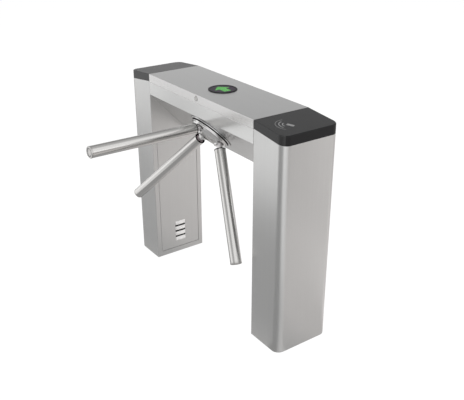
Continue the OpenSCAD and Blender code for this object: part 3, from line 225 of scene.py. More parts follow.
@dataclass(frozen=True)
class BrushedSteel:
    """Stainless sheet with fine straight brush lines."""

    name: str
    base: Colour = (0.56, 0.56, 0.555)
    brushed: Axis = Axis.UPRIGHT
    roughness: float = 0.36
    metallic: float = 0.9

    def write(self, nodes: NodeWriter) -> None:
        """Writes lines, long cloudy bands and a faint relief.

        Args:
            nodes: The material's nodes.
        """
        fine = tuple(0.012 if axis is self.brushed else 1.0 for axis in Axis)
        lines, broad = nodes.noise(2600.0, 3.0, fine), nodes.noise(160.0, 1.0, fine)
        cloud = nodes.noise(5.0)
        nodes.surface(
            Base_Color=nodes.tones(lines * 0.5 + broad * 0.3 + cloud * 0.2, self.base, 0.97, 1.03),
            Metallic=self.metallic,
            Roughness=lines * 0.05 + cloud * 0.02 + (self.roughness - 0.035),
            Normal=nodes.bump(lines, 0.000003),
        )


@dataclass(frozen=True)
class PolishedSteel:
    """Bright drawn tube and turned parts."""

    name: str
    base: Colour
    roughness: float
    smear: float = 0.03

    def write(self, nodes: NodeWriter) -> None:
        """Writes a bright surface with faint wipes and hairlines.

        Args:
            nodes: The material's nodes.
        """
        wipes, hair = nodes.noise(14.0, 3.0), nodes.noise(900.0)
        nodes.surface(
            Base_Color=nodes.tones(wipes, self.base, 0.98),
            Metallic=1.0,
            Roughness=wipes * self.smear + hair * 0.02 + (self.roughness - self.smear / 2),
            Normal=nodes.bump(hair, 0.0000008),
        )


@dataclass(frozen=True)
class Moulding:
    """Moulded plastic or rubber with a fine grain."""

    name: str
    base: Colour
    roughness: float = 0.45
    shine: float = 0.5
    relief: float = 0.00003

    def write(self, nodes: NodeWriter) -> None:
        """Writes the grain in colour, gloss and relief.

        Args:
            nodes: The material's nodes.
        """
        grain, cloud = nodes.noise(1800.0), nodes.noise(9.0)
        nodes.surface(
            Base_Color=nodes.tones(grain * 0.6 + cloud * 0.4, self.base, 0.9, 1.1),
            Roughness=grain * 0.1 + cloud * 0.05 + (self.roughness - 0.07),
            Specular_IOR_Level=self.shine,
            Normal=nodes.bump(grain, self.relief),
        )


@dataclass(frozen=True)
class CastMetal:
    """Blasted or cast metal: a soft, slightly uneven gloss."""

    name: str
    base: Colour
    roughness: float = 0.3
    metallic: float = 1.0
    relief: float = 0.00004

    def write(self, nodes: NodeWriter) -> None:
        """Writes two sizes of unevenness.

        Args:
            nodes: The material's nodes.
        """
        pits, waves = nodes.noise(1300.0), nodes.noise(60.0)
        nodes.surface(
            Base_Color=nodes.tones(waves, self.base, 0.92),
            Metallic=self.metallic,
            Roughness=pits * 0.1 + waves * 0.08 + (self.roughness - 0.09),
            Normal=nodes.bump(pits * 0.6 + waves * 0.4, self.relief),
        )


@dataclass(frozen=True)
class PaintedMetal:
    """Powder coat or enamel with a light orange-peel skin."""

    name: str
    base: Colour
    roughness: float = 0.42

    def write(self, nodes: NodeWriter) -> None:
        """Writes the peel.

        Args:
            nodes: The material's nodes.
        """
        peel, cloud = nodes.noise(700.0, 1.0), nodes.noise(12.0)
        nodes.surface(
            Base_Color=nodes.tones(cloud, self.base, 0.93),
            Roughness=peel * 0.12 + (self.roughness - 0.06),
            Coat_Weight=0.15,
            Normal=nodes.bump(peel, 0.00004),
        )


@dataclass(frozen=True)
class LitFilm:
    """A lit figure behind a diffuser of small dots."""

    name: str
    base: Colour

    def write(self, nodes: NodeWriter) -> None:
        """Writes an even glow that is a little brighter in its dots.

        Args:
            nodes: The material's nodes.
        """
        dots = 1.0 - nodes.cells(240.0).between(0.2, 0.6)
        nodes.surface(
            Base_Color=nodes.blend(dots, scaled(self.base, 0.3), scaled(self.base, 0.5)),
            Roughness=0.3,
            Emission_Color=nodes.blend(dots, scaled(self.base, 0.8), self.base),
            Emission_Strength=1.0,
        )


@dataclass(frozen=True)
class PrintedBoard:
    """Solder mask over copper tracks."""

    name: str
    base: Colour

    def write(self, nodes: NodeWriter) -> None:
        """Writes blocky tracks under the mask.

        Args:
            nodes: The material's nodes.
        """
        tracks = nodes.cells(190.0, "CHEBYCHEV").between(0.36, 0.4)
        nodes.surface(
            Base_Color=nodes.blend(tracks, self.base, scaled(self.base, 1.7)),
            Roughness=0.45 - tracks * 0.15,
            Normal=nodes.bump(tracks, 0.00004),
        )


Finish = BrushedSteel | PolishedSteel | Moulding | CastMetal | PaintedMetal | LitFilm | PrintedBoard

MADE: dict[str, bpy.types.Material] = {}


def material_of(finish: Finish) -> bpy.types.Material:
    """Makes a finish's material once.

    Args:
        finish: The finish.

    Returns:
        Its material.
    """
    if finish.name not in MADE:
        MADE[finish.name] = bpy.data.materials.new(finish.name)
        finish.write(NodeWriter.of(MADE[finish.name]))
    return MADE[finish.name]


def dress(piece: bpy.types.Object, finish: Finish) -> None:
    """Gives every face of a piece one finish.

    Args:
        piece: The piece.
        finish: The finish.
    """
    slots = piece.data.materials
    if not slots:
        slots.append(material_of(finish))
    for index in range(len(slots)):
        slots[index] = material_of(finish)


BRIDGE_STEEL = BrushedSteel("brushed steel, bridge", brushed=Axis.ALONG_BRIDGE, roughness=0.22)
LEG_STEEL = BrushedSteel("brushed steel, legs", roughness=0.31)
# A brighter, less metallic copy of the door's steel for the hoods: painted highlight.
LOUVRE_STEEL_LIT = BrushedSteel("pressed steel, louvres, painted highlight", (0.8, 0.79, 0.78), roughness=0.42,
                            metallic=0.55)
LID_STEEL = BrushedSteel("brushed steel, lid", (0.525, 0.525, 0.523), Axis.ALONG_BRIDGE, 0.3)
# The lid's front flange and the front of its bend get this brighter copy of the lid's steel:
# painted highlight.
LID_FLANGE_LIT_COPY = BrushedSteel("brushed steel, lid flange, painted highlight", (0.61, 0.605, 0.6), Axis.ALONG_BRIDGE,
                            0.28)
ARM_STEEL = PolishedSteel("polished steel, arms", (0.58, 0.573, 0.562), 0.17)
TIP_STEEL = PolishedSteel("polished steel, tips", (0.5, 0.49, 0.48), 0.22)
RING_STEEL = PolishedSteel("polished steel, ring", grey(0.6), 0.24)
# A dark copy of the tip's steel for the groove on the tip's face: painted shade.
GROOVE_SHADE = PolishedSteel("turned groove, painted shade", grey(0.22), 0.3)
GROUND_STEEL = PolishedSteel("ground steel", grey(0.62), 0.18)
HUB_METAL = CastMetal("cast hub", (0.66, 0.655, 0.65), 0.15, 0.86, 0.00002)
# Light, less metallic finishes that hold the bright tones of the necks and the plugs' faces: partly
# the parts' own tone, partly painted highlight and reflection.
SPIGOT_METAL_LIT = CastMetal("turned spigot", (0.84, 0.82, 0.82), 0.36, 0.6, 0.00001)
PLUG_METAL_LIT = CastMetal("plug face, painted reflection", (0.68, 0.57, 0.61), 0.5, 0.2, 0.00001)
BLACK_OXIDE = CastMetal("black oxide", (0.015, 0.015, 0.016), 0.4)
ZINC = CastMetal("zinc plate", (0.6, 0.6, 0.58))
YELLOW_ZINC = CastMetal("yellow zinc", (0.62, 0.55, 0.34))
TURNED_ALUMINIUM = CastMetal("turned aluminium", (0.66, 0.66, 0.67), 0.28, relief=0.00001)
CUT_STEEL = CastMetal("cut steel", (0.42, 0.4, 0.37), 0.32, relief=0.00001)
CAP_PLASTIC = Moulding("cap moulding", (0.013, 0.013, 0.0135), 0.41)
# The cap's end gets this darker, less glossy copy of the cap's plastic: painted shade.
CAP_END_SHADED = Moulding("cap end, painted shade", (0.009, 0.009, 0.0095), shine=0.2)
BEZEL_PLASTIC = Moulding("sign rim", (0.01, 0.009, 0.011), shine=0.12)
LENS_PLASTIC = Moulding("sign window", (0.027, 0.019, 0.03), shine=0.12, relief=0.000005)
RUBBER = Moulding("black rubber", (0.006, 0.004, 0.005), 0.6, 0.15)
# A near-black sheet behind the louvres' slots stands in for the shade inside the leg: painted
# shade.
SLOT_SHADE_SHEET = Moulding("black sheet, painted slot shade", grey(0.004), 0.9, 0.1)
# Near-black bands on the ring and the hub stand in for the shade in the gap between them and for
# the contact shadow at the ring's foot: painted shade.
BLACK_GAP_SHADE = Moulding("black band, painted gap shade", grey(0.004), 0.6, 0.1)
PRINT = Moulding("printed symbol", grey(0.2), 0.5)
BLACK_PLASTIC = Moulding("black plastic", grey(0.015))
ARROW_LIGHT = LitFilm("lit arrow", (0.035, 0.2, 0.03))
LAMP_LIGHT = LitFilm("arrow lamps", (0.085, 0.4, 0.075))
PLATE_PAINT = PaintedMetal("plate paint", (0.09, 0.1, 0.12))
MOTOR_PAINT = PaintedMetal("motor paint", (0.02, 0.02, 0.022))
CASE_PAINT = PaintedMetal("case paint", grey(0.5))
BOARD = PrintedBoard("circuit board", (0.03, 0.16, 0.06))

NODE_FINISHES: dict[Finish, list[str]] = {
    BLACK_OXIDE: ["arm_screws", "hub_bolt"],
    ZINC: ["near_floor_plate", "far_floor_plate", "bridge_end_plates", "joint_bolts",
           "door_hinges", "lid_hinge_brackets", "near_door_lock", "far_door_lock",
           "lid_lock_plug", "hub_key", "frame_pillars", "pawl_pins", "upper_plunger",
           "lower_plunger", "plunger_springs"],
    YELLOW_ZINC: ["upper_solenoid", "lower_solenoid"],
    TURNED_ALUMINIUM: ["front_housing", "rear_housing"],
    GROUND_STEEL: ["front_bearing", "rear_bearing", "rotor_shaft"],
    CUT_STEEL: ["main_gear", "motor_pinion", "locking_wheel", "upper_pawl", "lower_pawl"],
    PLATE_PAINT: ["front_plate", "rear_plate", "motor_plate"],
    MOTOR_PAINT: ["drive_motor"],
    CASE_PAINT: ["power_supply"],
    BLACK_PLASTIC: ["encoder_disc", "position_sensor"],
    BOARD: ["card_reader", "control_board"],
}


def rounded(corners: Sequence[Point], steps: int = 6) -> list[Flat]:
    """Rounds the corners of a closed line.

    Args:
        corners: Each corner's place and radius.
        steps: Steps round each corner.

    Returns:
        The line's points.
    """
    points: list[Flat] = []
    for index, (x, y, radius) in enumerate(corners):
        here = Vector((x, y))
        back = (Vector(corners[index - 1][:2]) - here).normalized()
        ahead = (Vector(corners[(index + 1) % len(corners)][:2]) - here).normalized()
        half = back.angle(ahead) / 2
        reach = radius / math.tan(half)
        centre = here + (back + ahead).normalized() * (radius / math.sin(half))
        start, stop = here + back * reach - centre, here + ahead * reach - centre
        turn = start.angle_signed(stop)
        for step in range(steps + 1):
            points.append(tuple(centre + Matrix.Rotation(-turn * step / steps, 2) @ start))
    return points


def corners_of(low: Sequence[float], high: Sequence[float]) -> list[Flat]:
    """Gives the corners of an upright rectangle from two opposite ones."""
    return [(low[0], low[1]), (high[0], low[1]), (high[0], high[1]), (low[0], high[1])]


def rectangle(low: Flat, high: Flat, radii: Sequence[float], steps: int = 6) -> list[Flat]:
    """Draws a rectangle whose corners have the given radii, in turn."""
    corners = zip(corners_of(low, high), cycle(radii))
    return rounded([(*corner, radius) for corner, radius in corners], steps)


def left_of(start: Sequence[float], stop: Sequence[float]) -> Vector:
    """Gives the unit normal to the left of a straight."""
    along = (Vector(stop) - Vector(start)).normalized()
    return Vector((-along.y, along.x))


def sheet_section(path: Sequence[Flat], thickness: float, bend: float) -> list[Flat]:
    """Draws the section of a folded sheet whose metal lies to the left of a path.

    Args:
        path: The corners of the sheet's outer face.
        thickness: The sheet's thickness.
        bend: The inner radius of the bends.

    Returns:
        The closed line's points.
    """
    cut_edge = 0.01
    outer: list[Point] = []
    inner: list[Point] = []
    for index, (x, y) in enumerate(path):
        if index in (0, len(path) - 1):
            side = left_of(*path[:2]) if index == 0 else left_of(*path[-2:])
            outer.append((x, y, cut_edge))
            inner.append((x + thickness * side.x, y + thickness * side.y, cut_edge))
            continue
        before, after = left_of(path[index - 1], (x, y)), left_of((x, y), path[index + 1])
        shift = (before + after) * (thickness / (1.0 + before.dot(after)))
        left_turn = before.x * after.y - before.y * after.x > 0
        outer.append((x, y, bend + thickness if left_turn else bend))
        inner.append((x + shift.x, y + shift.y, bend if left_turn else bend + thickness))
    return rounded(outer + inner[::-1], 4)


def stand(place: Point, degrees: float, axis: str) -> Matrix:
    """Gives a frame at a place, turned about one of its axes."""
    return Matrix.Translation(place) @ Matrix.Rotation(math.radians(degrees), 4, axis)


@dataclass(frozen=True)
class Sizes:
    """The cabinet's main sizes in millimetres, as in the CAD."""

    inner_x: float = 415.0
    half_length: float = 600.0
    half_depth: float = 140.0
    height: float = 1000.0
    sheet: float = 1.5
    bend: float = 0.9
    fine_gap: float = 0.3
    corner_radius: float = 35.0
    least_radius: float = 0.4
    cap_base: float = 965.0
    cap_base_fall: float = 22.6
    cap_top_fall: float = 17.0
    seam_z: float = 965.0
    lid_lock_z: float = 982.5
    door_lock_z: float = 490.0
    hub_y: float = -64.98
    hub_z: float = 819.551
    hub_tilt: float = 43.0
    rest_turn: float = 5.7
    apex_depth: float = 40.0
    arm_spread: float = 45.0
    arm_turns: tuple[float, ...] = (0.0, 240.0, 120.0)
    screw_circle_r: float = 80.0
    screw_turn: float = 20.0
    screw_count: int = 4

    def on_slope(self, line: Sequence[Flat], start: float, drop: float, low: float) -> list[Point]:
        """Lays a plan's line on a slope.

        Args:
            line: The line's points.
            start: The slope's height at the leg's inner face.
            drop: How far the slope falls over the leg's length.
            low: How far under the slope the line lies.

        Returns:
            The points with their heights.
        """
        length = self.half_length - self.inner_x
        return [(x, y, start - drop * (abs(x) - self.inner_x) / length - low) for x, y in line]

    def cap_top(self, line: Sequence[Flat], low: float = 0.0) -> list[Point]:
        """Lays a line on the cap's top or under it."""
        return self.on_slope(line, self.height, self.cap_top_fall, low)

    def cap_foot(self, line: Sequence[Flat], low: float = 0.0) -> list[Point]:
        """Lays a line where the cap rests on the leg, or under that."""
        return self.on_slope(line, self.cap_base, self.cap_base_fall, low)

    def plan(self, inset: float, share: float = 1.0) -> list[Flat]:
        """Draws a leg's plan.

        Args:
            inset: How far the line lies inside the leg's outer face.
            share: The share of the inset that the inner face takes.

        Returns:
            The closed line's points.
        """
        low, high = self.inner_x + share * inset, self.half_length - inset
        half, wide = self.half_depth - inset, self.corner_radius - inset
        tight = max(self.bend + self.sheet - inset, self.least_radius)
        return rectangle((low, -half), (high, half), (tight, wide, wide, tight), 10)

    def hub(self) -> Matrix:
        """Gives the shaft's frame: its origin on the inclined face, Z out along the shaft."""
        return stand((0.0, self.hub_y, self.hub_z), 90.0 + self.hub_tilt, "X")

    def arm(self, turn: float) -> Matrix:
        """Gives an arm's frame: its origin at the apex, Z along the arm."""
        return (self.hub() @ Matrix.Rotation(math.radians(-self.rest_turn - turn), 4, "Z")
                @ Matrix.Translation((0.0, 0.0, -self.apex_depth))
                @ Matrix.Rotation(math.radians(-self.arm_spread), 4, "X"))

    def screws(self, height: float = 0.0) -> list[Matrix]:
        """Gives the frames of the ring's screws at a height along the shaft."""
        turns = [self.screw_turn + 360.0 * index / self.screw_count
                 for index in range(self.screw_count)]
        return [self.hub() @ Matrix.Rotation(math.radians(turn), 4, "Z")
                @ Matrix.Translation((self.screw_circle_r, 0.0, height)) for turn in turns]


SIZES = Sizes()


def show(name: str, data: bpy.types.ID) -> bpy.types.Object:
    """Adds an object to the scene.

    Args:
        name: The object's name.
        data: Its mesh, light or camera.

    Returns:
        The object.
    """
    made = bpy.data.objects.new(name, data)
    bpy.context.scene.collection.objects.link(made)
    return made


class Form:
    """A closed mesh in millimetres, put together from lofts, lathes and prisms."""

    def __init__(self) -> None:
        """Starts empty."""
        self.mesh = bmesh.new()

    def skin(self, rows: Sequence[Sequence[bmesh.types.BMVert]], ring: bool,
             slots: Sequence[int]) -> "Form":
        """Joins rows of vertices by bands of faces; a face needs three different corners.

        Args:
            rows: The rows, with equal numbers of vertices.
            ring: Whether the last row is joined to the first, too.
            slots: The bands' material slots, in turn.

        Returns:
            The form.
        """
        pairs = list(zip(rows, rows[1:])) + ([(rows[-1], rows[0])] if ring else [])
        for (low, high), slot in zip(pairs, cycle(slots)):
            for index in range(len(low)):
                after = (index + 1) % len(low)
                corners = dict.fromkeys((low[index], low[after], high[after], high[index]))
                if len(corners) > 2:
                    self.mesh.faces.new(list(corners)).material_index = slot
        return self

    def loft(self, loops: Sequence[Sequence[Point]], place: Matrix = Matrix(),
             ring: bool = False) -> "Form":
        """Skins a row of loops that have equal numbers of points.

        Args:
            loops: The loops, each a closed line.
            place: Where the form stands.
            ring: Joins the last loop to the first, instead of closing both ends.

        Returns:
            The form.
        """
        rows = [[self.mesh.verts.new(place @ Vector(point)) for point in loop] for loop in loops]
        self.skin(rows, ring, (0,))
        if not ring:
            self.mesh.faces.new(rows[0][::-1])
            self.mesh.faces.new(rows[-1])
        return self

    def lathe(self, profile: Sequence[Flat], place: Matrix = Matrix(), steps: int = 96,
              slots: Sequence[int] = (0,)) -> "Form":
        """Turns a profile round Z; it is closed by its ends on the axis, or else as a ring.

        Args:
            profile: Points as (radius, height).
            place: Where the form stands.
            steps: Steps round the axis.
            slots: The material slots of the profile's straights, in turn.

        Returns:
            The form.
        """
        turns = [2 * math.pi * step / steps for step in range(steps)]
        rows = []
        for radius, height in profile:
            if radius:
                rows.append([self.mesh.verts.new(place @ Vector(
                    (radius * math.cos(turn), radius * math.sin(turn), height))) for turn in turns])
            else:
                rows.append([self.mesh.verts.new(place @ Vector((0.0, 0.0, height)))] * steps)
        return self.skin(rows, profile[0][0] > 0.0, slots)

    def rod(self, radius: float, low: float, high: float, place: Matrix = Matrix(),
            steps: int = 32) -> "Form":
        """Adds a cylinder on the Z axis, for cuts."""
        return self.lathe([(0.0, low), (radius, low), (radius, high), (0.0, high)], place, steps)

    def prism(self, outline: Sequence[Flat], low: float, high: float,
              place: Matrix = Matrix()) -> "Form":
        """Extrudes an outline along Z from low to high."""
        return self.loft([[(x, y, z) for x, y in outline] for z in (low, high)], place)

    def along_x(self, section: Sequence[Flat], low: float, high: float) -> "Form":
        """Extrudes a section drawn in Y and Z along X."""
        return self.loft([[(x, y, z) for y, z in section] for x in (low, high)])

    def block(self, low: Point, high: Point, place: Matrix = Matrix()) -> "Form":
        """Adds a box, for cuts and small folds."""
        return self.prism(corners_of(low, high), low[2], high[2], place)

    def paint(self, axis: Axis, limit: float, slot: int) -> "Form":
        """Gives a slot to the faces whose centres lie past a limit on one axis.

        Args:
            axis: The axis.
            limit: The limit; a negative one is passed downwards.
            slot: The material slot.

        Returns:
            The form.
        """
        sign = math.copysign(1.0, limit)
        for face in self.mesh.faces:
            if sign * face.calc_center_median()[axis.value] > abs(limit):
                face.material_index = slot
        return self

    def move(self, place: Matrix) -> "Form":
        """Moves or mirrors everything so far."""
        self.mesh.transform(place)
        return self

    def without(self, other: "Form") -> "Form":
        """Cuts another form out of this one.

        Args:
            other: The form to cut out.

        Returns:
            A new form with what is left.
        """
        piece = self.to_object("rest", 1.0)
        combine(piece, {"DIFFERENCE": other}, 1.0)
        rest = Form()
        rest.mesh.from_mesh(piece.data)
        remove(piece)
        return rest

    def to_object(self, name: str, scale: float = MM) -> bpy.types.Object:
        """Turns the form into an object with outward faces; the form is used up.

        Args:
            name: The object's name.
            scale: The length of the form's millimetre in the object.

        Returns:
            The object.
        """
        self.mesh.transform(Matrix.Scale(scale, 4))
        bmesh.ops.recalc_face_normals(self.mesh, faces=self.mesh.faces)
        data = bpy.data.meshes.new(name)
        self.mesh.to_mesh(data)
        self.mesh.free()
        return show(name, data)


def bake(piece: bpy.types.Object) -> None:
    """Gives a piece the plain mesh that its modifiers make, and removes them.

    Args:
        piece: The piece.
    """
    bpy.context.view_layer.update()
    graph = bpy.context.evaluated_depsgraph_get()
    data = bpy.data.meshes.new_from_object(piece.evaluated_get(graph), depsgraph=graph)
    old = piece.data
    piece.modifiers.clear()
    piece.data = data
    bpy.data.meshes.remove(old)


def remove(piece: bpy.types.Object) -> None:
    """Removes an object and its mesh.

    Args:
        piece: The object.
    """
    data = piece.data
    bpy.data.objects.remove(piece)
    bpy.data.meshes.remove(data)


def combine(piece: bpy.types.Object, tools: dict[str, Form | None], scale: float = MM,
            edge: float = 0.0) -> None:
    """Joins forms to a piece or cuts them out of it, and then softens its edges.

    Args:
        piece: The piece.
        tools: The form of each Boolean operation; one without a form is left out.
        scale: The length of the forms' millimetre in the piece.
        edge: The radius of the softened edges in millimetres.
    """
    others = []
    for kind, form in tools.items():
        if form:
            others.append(form.to_object(piece.name + "_tool", scale))
            modifier = piece.modifiers.new(kind, "BOOLEAN")
            modifier.operation, modifier.solver, modifier.object = kind, "EXACT", others[-1]
            modifier.use_self = True
    if edge:
        bevel = piece.modifiers.new("edge", "BEVEL")
        bevel.width, bevel.segments = edge * scale, 2
        bevel.limit_method, bevel.angle_limit = "ANGLE", math.radians(38.0)
        bevel.use_clamp_overlap = True
    if piece.modifiers:
        bake(piece)
    for other in others:
        remove(other)


def shade(piece: bpy.types.Object, degrees: float) -> None:
    """Shades a piece smooth except at edges that turn by more than an angle."""
    piece.data.shade_smooth()
    piece.data.set_sharp_from_angle(angle=math.radians(degrees))


def adopt(piece: bpy.types.Object, body: str, replaces: Sequence[str]) -> None:
    """Ties a piece to its body and the CAD nodes that it stands for.

    Args:
        piece: The piece.
        body: The body that it rides on.
        replaces: CAD nodes that it stands for.
    """
    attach(piece, body)
    if replaces:
        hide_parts(*replaces)
    LOG.info("%s: %d faces", piece.name, len(piece.data.polygons))


SMOOTH = 32.0
SHEET_SMOOTH = 25.0


def make_piece(name: str, form: Form, finishes: Sequence[Finish], body: str,
               replaces: Sequence[str] = (), cut: Form | None = None, join: Form | None = None,
               edge: float = 0.0, smooth: float = SMOOTH) -> None:
    """Makes one piece of the model.

    Args:
        name: The piece's name.
        form: Its form in millimetres.
        finishes: A finish for each of its material slots.
        body: The body that it rides on.
        replaces: CAD nodes that it stands for.
        cut: What is cut out of it.
        join: What is joined to it before the cut.
        edge: The radius of its sharp edges in millimetres.
        smooth: The largest angle, in degrees, that is shaded smooth.
    """
    piece = form.to_object(name)
    for finish in finishes:
        piece.data.materials.append(material_of(finish))
    combine(piece, {"UNION": join, "DIFFERENCE": cut}, edge=edge)
    shade(piece, smooth)
    piece.modifiers.new("flat faces", "WEIGHTED_NORMAL").keep_sharp = True
    bake(piece)
    adopt(piece, body, replaces)


class Pattern(Enum):
    """How a Geometry Nodes tree repeats what it is given."""

    ROW = "row"
    RING = "ring"
    FILL = "fill"


class Repeater(NodeWriter):
    """A Geometry Nodes tree with named sizes that repeats a form by a rule."""

    prefix = "GeometryNode"
    INPUTS = {
        Pattern.ROW: {"Count": "Int", "Step": "Vector"},
        Pattern.RING: {"Count": "Int", "Radius": "Float", "First Turn": "Float"},
        Pattern.FILL: {"Width": "Float", "Pitch": "Float", "Dot Radius": "Float", "Lift": "Float"},
    }

    def __init__(self, pattern: Pattern) -> None:
        """Builds the tree of a pattern.

        Args:
            pattern: The pattern.
        """
        super().__init__(bpy.data.node_groups.new("repeat_" + pattern.value, "GeometryNodeTree"))
        kinds = {"Geometry": "Geometry", **self.INPUTS[pattern], "Material": "Material"}
        self.sockets = {name: self.tree.interface.new_socket(
            name, in_out="INPUT", socket_type="NodeSocket" + kind).identifier
            for name, kind in kinds.items()}
        self.tree.interface.new_socket("Geometry", in_out="OUTPUT",
                                       socket_type="NodeSocketGeometry")
        self.given = self.tree.nodes.new("NodeGroupInput")
        instances = {Pattern.ROW: self.row, Pattern.RING: self.ring, Pattern.FILL: self.fill}
        realized = self.add("RealizeInstances", inputs={0: instances[pattern]()})
        painted = self.add("SetMaterial", inputs={"Geometry": realized.outputs[0],
                                                  "Material": self.given.outputs["Material"]})
        result = self.tree.nodes.new("NodeGroupOutput")
        self.tree.links.new(painted.outputs[0], result.inputs[0])

    def copies(self, points: Socket, instance: Socket, **inputs: object) -> Socket:
        """Puts a copy on every point."""
        inputs = {"Points": points, "Instance": instance, **inputs}
        return self.add("InstanceOnPoints", inputs=inputs).outputs[0]

    def vector(self, **inputs: Value) -> Socket:
        """Makes a vector from its X, Y and Z."""
        return self.add("ShaderNodeCombineXYZ", inputs=inputs).outputs[0]

    def row(self) -> Socket:
        """Places copies one step apart."""
        line = self.add("MeshLine", inputs={"Count": self.given.outputs["Count"],
                                            "Offset": self.given.outputs["Step"]})
        return self.copies(line.outputs[0], self.given.outputs[0])

    def ring(self) -> Socket:
        """Places copies evenly round Z, each turned with its place.

        Returns:
            The copies.
        """
        count, radius = self.value(self.given, "Count"), self.value(self.given, "Radius")
        share = self.math("DIVIDE", self.value(self.add("InputIndex")), count)
        turn = share * (2 * math.pi) + self.value(self.given, "First Turn")
        place = self.vector(X=self.math("COSINE", turn) * radius,
                            Y=self.math("SINE", turn) * radius)
        points = self.add("Points", inputs={"Count": count})
        moved = self.add("SetPosition", inputs={"Geometry": points.outputs[0], "Position": place})
        return self.copies(moved.outputs[0], self.given.outputs[0], Rotation=self.vector(Z=turn))

    def fill(self) -> Socket:
        """Places flat domes on a grid wherever the given figure lies below.

        Returns:
            The domes.
        """
        width = self.value(self.given, "Width")
        across = self.math("DIVIDE", width, self.value(self.given, "Pitch")) + 1.0
        grid = self.add("MeshGrid", inputs={"Size X": width, "Size Y": width,
                                            "Vertices X": across, "Vertices Y": across})
        lift = self.vector(Z=self.value(self.given, "Lift"))
        high = self.add("SetPosition", inputs={"Geometry": grid.outputs[0], "Offset": lift})
        ray = self.add("Raycast", inputs={"Target Geometry": self.given.outputs[0],
                                          "Ray Direction": (0.0, 0.0, -1.0), "Ray Length": 1.0})
        dome = self.add("MeshIcoSphere", inputs={"Radius": self.given.outputs["Dot Radius"],
                                                 "Subdivisions": 2})
        smooth = self.add("SetShadeSmooth", inputs={"Geometry": dome.outputs[0]})
        return self.copies(high.outputs[0], smooth.outputs[0], Selection=ray.outputs["Is Hit"],
                           Scale=(1.0, 1.0, 0.35))

    def make_piece(self, name: str, form: Form, finish: Finish, body: str, slot: str,
                   place: Matrix, replaces: Sequence[str] = (), **sizes: object) -> None:
        """Makes a piece whose form the tree repeats, and puts it in its place.

        Args:
            name: The piece's name.
            form: The form of one copy.
            finish: Its finish.
            body: The body that it rides on.
            place: The pattern's frame, in millimetres.
            replaces: CAD nodes that it stands for.
            sizes: The tree's inputs in metres and radians; names have _ for a space.
        """
        piece = form.to_object(name)
        piece.data.materials.append(material_of(finish))
        shade(piece, SMOOTH)
        modifier = piece.modifiers.new("repeat", "NODES")
        modifier.node_group = self.tree
        for key, size in {**sizes, "Material": material_of(finish)}.items():
            modifier[self.sockets[key.replace("_", " ")]] = size
        bake(piece)
        metres = place.copy()
        metres.translation = metres.translation * MM
        piece.data.transform(metres)
        adopt(piece, body, replaces)


class Side(Enum):
    """Which end of the bridge; the value is the sign of X."""

    NEAR = 1
    FAR = -1

    @property
    def label(self) -> str:
        """The side's name in node names."""
        return self.name.lower()

    @property
    def flip(self) -> Matrix:
        """Mirrors a form from the near side to this side."""
        return Matrix.Diagonal((float(self.value), 1.0, 1.0, 1.0))


@dataclass
class Leg:
    """One leg: a folded sheet tube with a door opening and a cable window."""

    side: Side
    opening_half: float = 116.0
    opening_z: Flat = (27.0, 688.0)
    window_y: Flat = (0.0, 100.0)
    window_z: Flat = (805.0, 895.0)
    window_radius: float = 6.0
    stop_width: float = 14.0
    stop_lap: float = 6.0
    catch_y: float = 129.5
    catch_depth: float = 16.5
    catch_lip: float = 3.0
    catch_height: float = 28.0
    bolt_d: float = 8.3
    bolt_gap: float = 13.0

    def shell(self) -> Form:
        """Lofts the tube, whose top follows the cap's base, and adds the door's stop and catch.

        Returns:
            The shell.
        """
        s, half = SIZES, self.opening_half
        outer, inner = s.plan(0.0), s.plan(s.sheet)
        feet = [[(x, y, 0.0) for x, y in line] for line in (outer, inner)]
        form = Form().loft([feet[0], s.cap_foot(outer), s.cap_foot(inner), feet[1]], ring=True)
        x = s.inner_x + s.sheet
        stop = rectangle((x + s.fine_gap, -half - self.stop_width),
                         (x + s.fine_gap + s.sheet, self.stop_lap - half), (0.2, 0.2, 0.5, 0.5), 2)
        form.prism(stop, *self.opening_z)
        edge, lip = -self.catch_y - s.sheet, x + self.catch_depth
        catch = sheet_section([(x, edge), (lip, edge), (lip, -half - self.catch_lip)], s.sheet,
                              s.bend)
        return form.prism(catch, s.door_lock_z - self.catch_height / 2,
                          s.door_lock_z + self.catch_height / 2)

    def openings(self) -> Form:
        """Gives the cuts in the inner face.

        Returns:
            The cuts.
        """
        low, high = SIZES.inner_x - 5.0, SIZES.inner_x + SIZES.sheet
        form = Form().block((low, -self.opening_half, self.opening_z[0]),
                            (high + 0.02, self.opening_half, self.opening_z[1]))
        window = rectangle((self.window_y[0], self.window_z[0]),
                           (self.window_y[1], self.window_z[1]), (self.window_radius,))
        form.along_x(window, low, high + 2.0)
        for y in (self.window_y[0] - self.bolt_gap, self.window_y[1] + self.bolt_gap):
            for z in self.window_z:
                form.rod(self.bolt_d / 2, 0.0, 9.0, stand((low, y, z), 90.0, "Y"), 24)
        return form

    def build(self) -> None:
        """Makes the leg."""
        label, flip = self.side.label, self.side.flip
        make_piece(label + "_leg_shell", self.shell().move(flip), [LEG_STEEL], "cabinet",
                   [label + "_leg"], cut=self.openings().move(flip),
                   smooth=SHEET_SMOOTH)


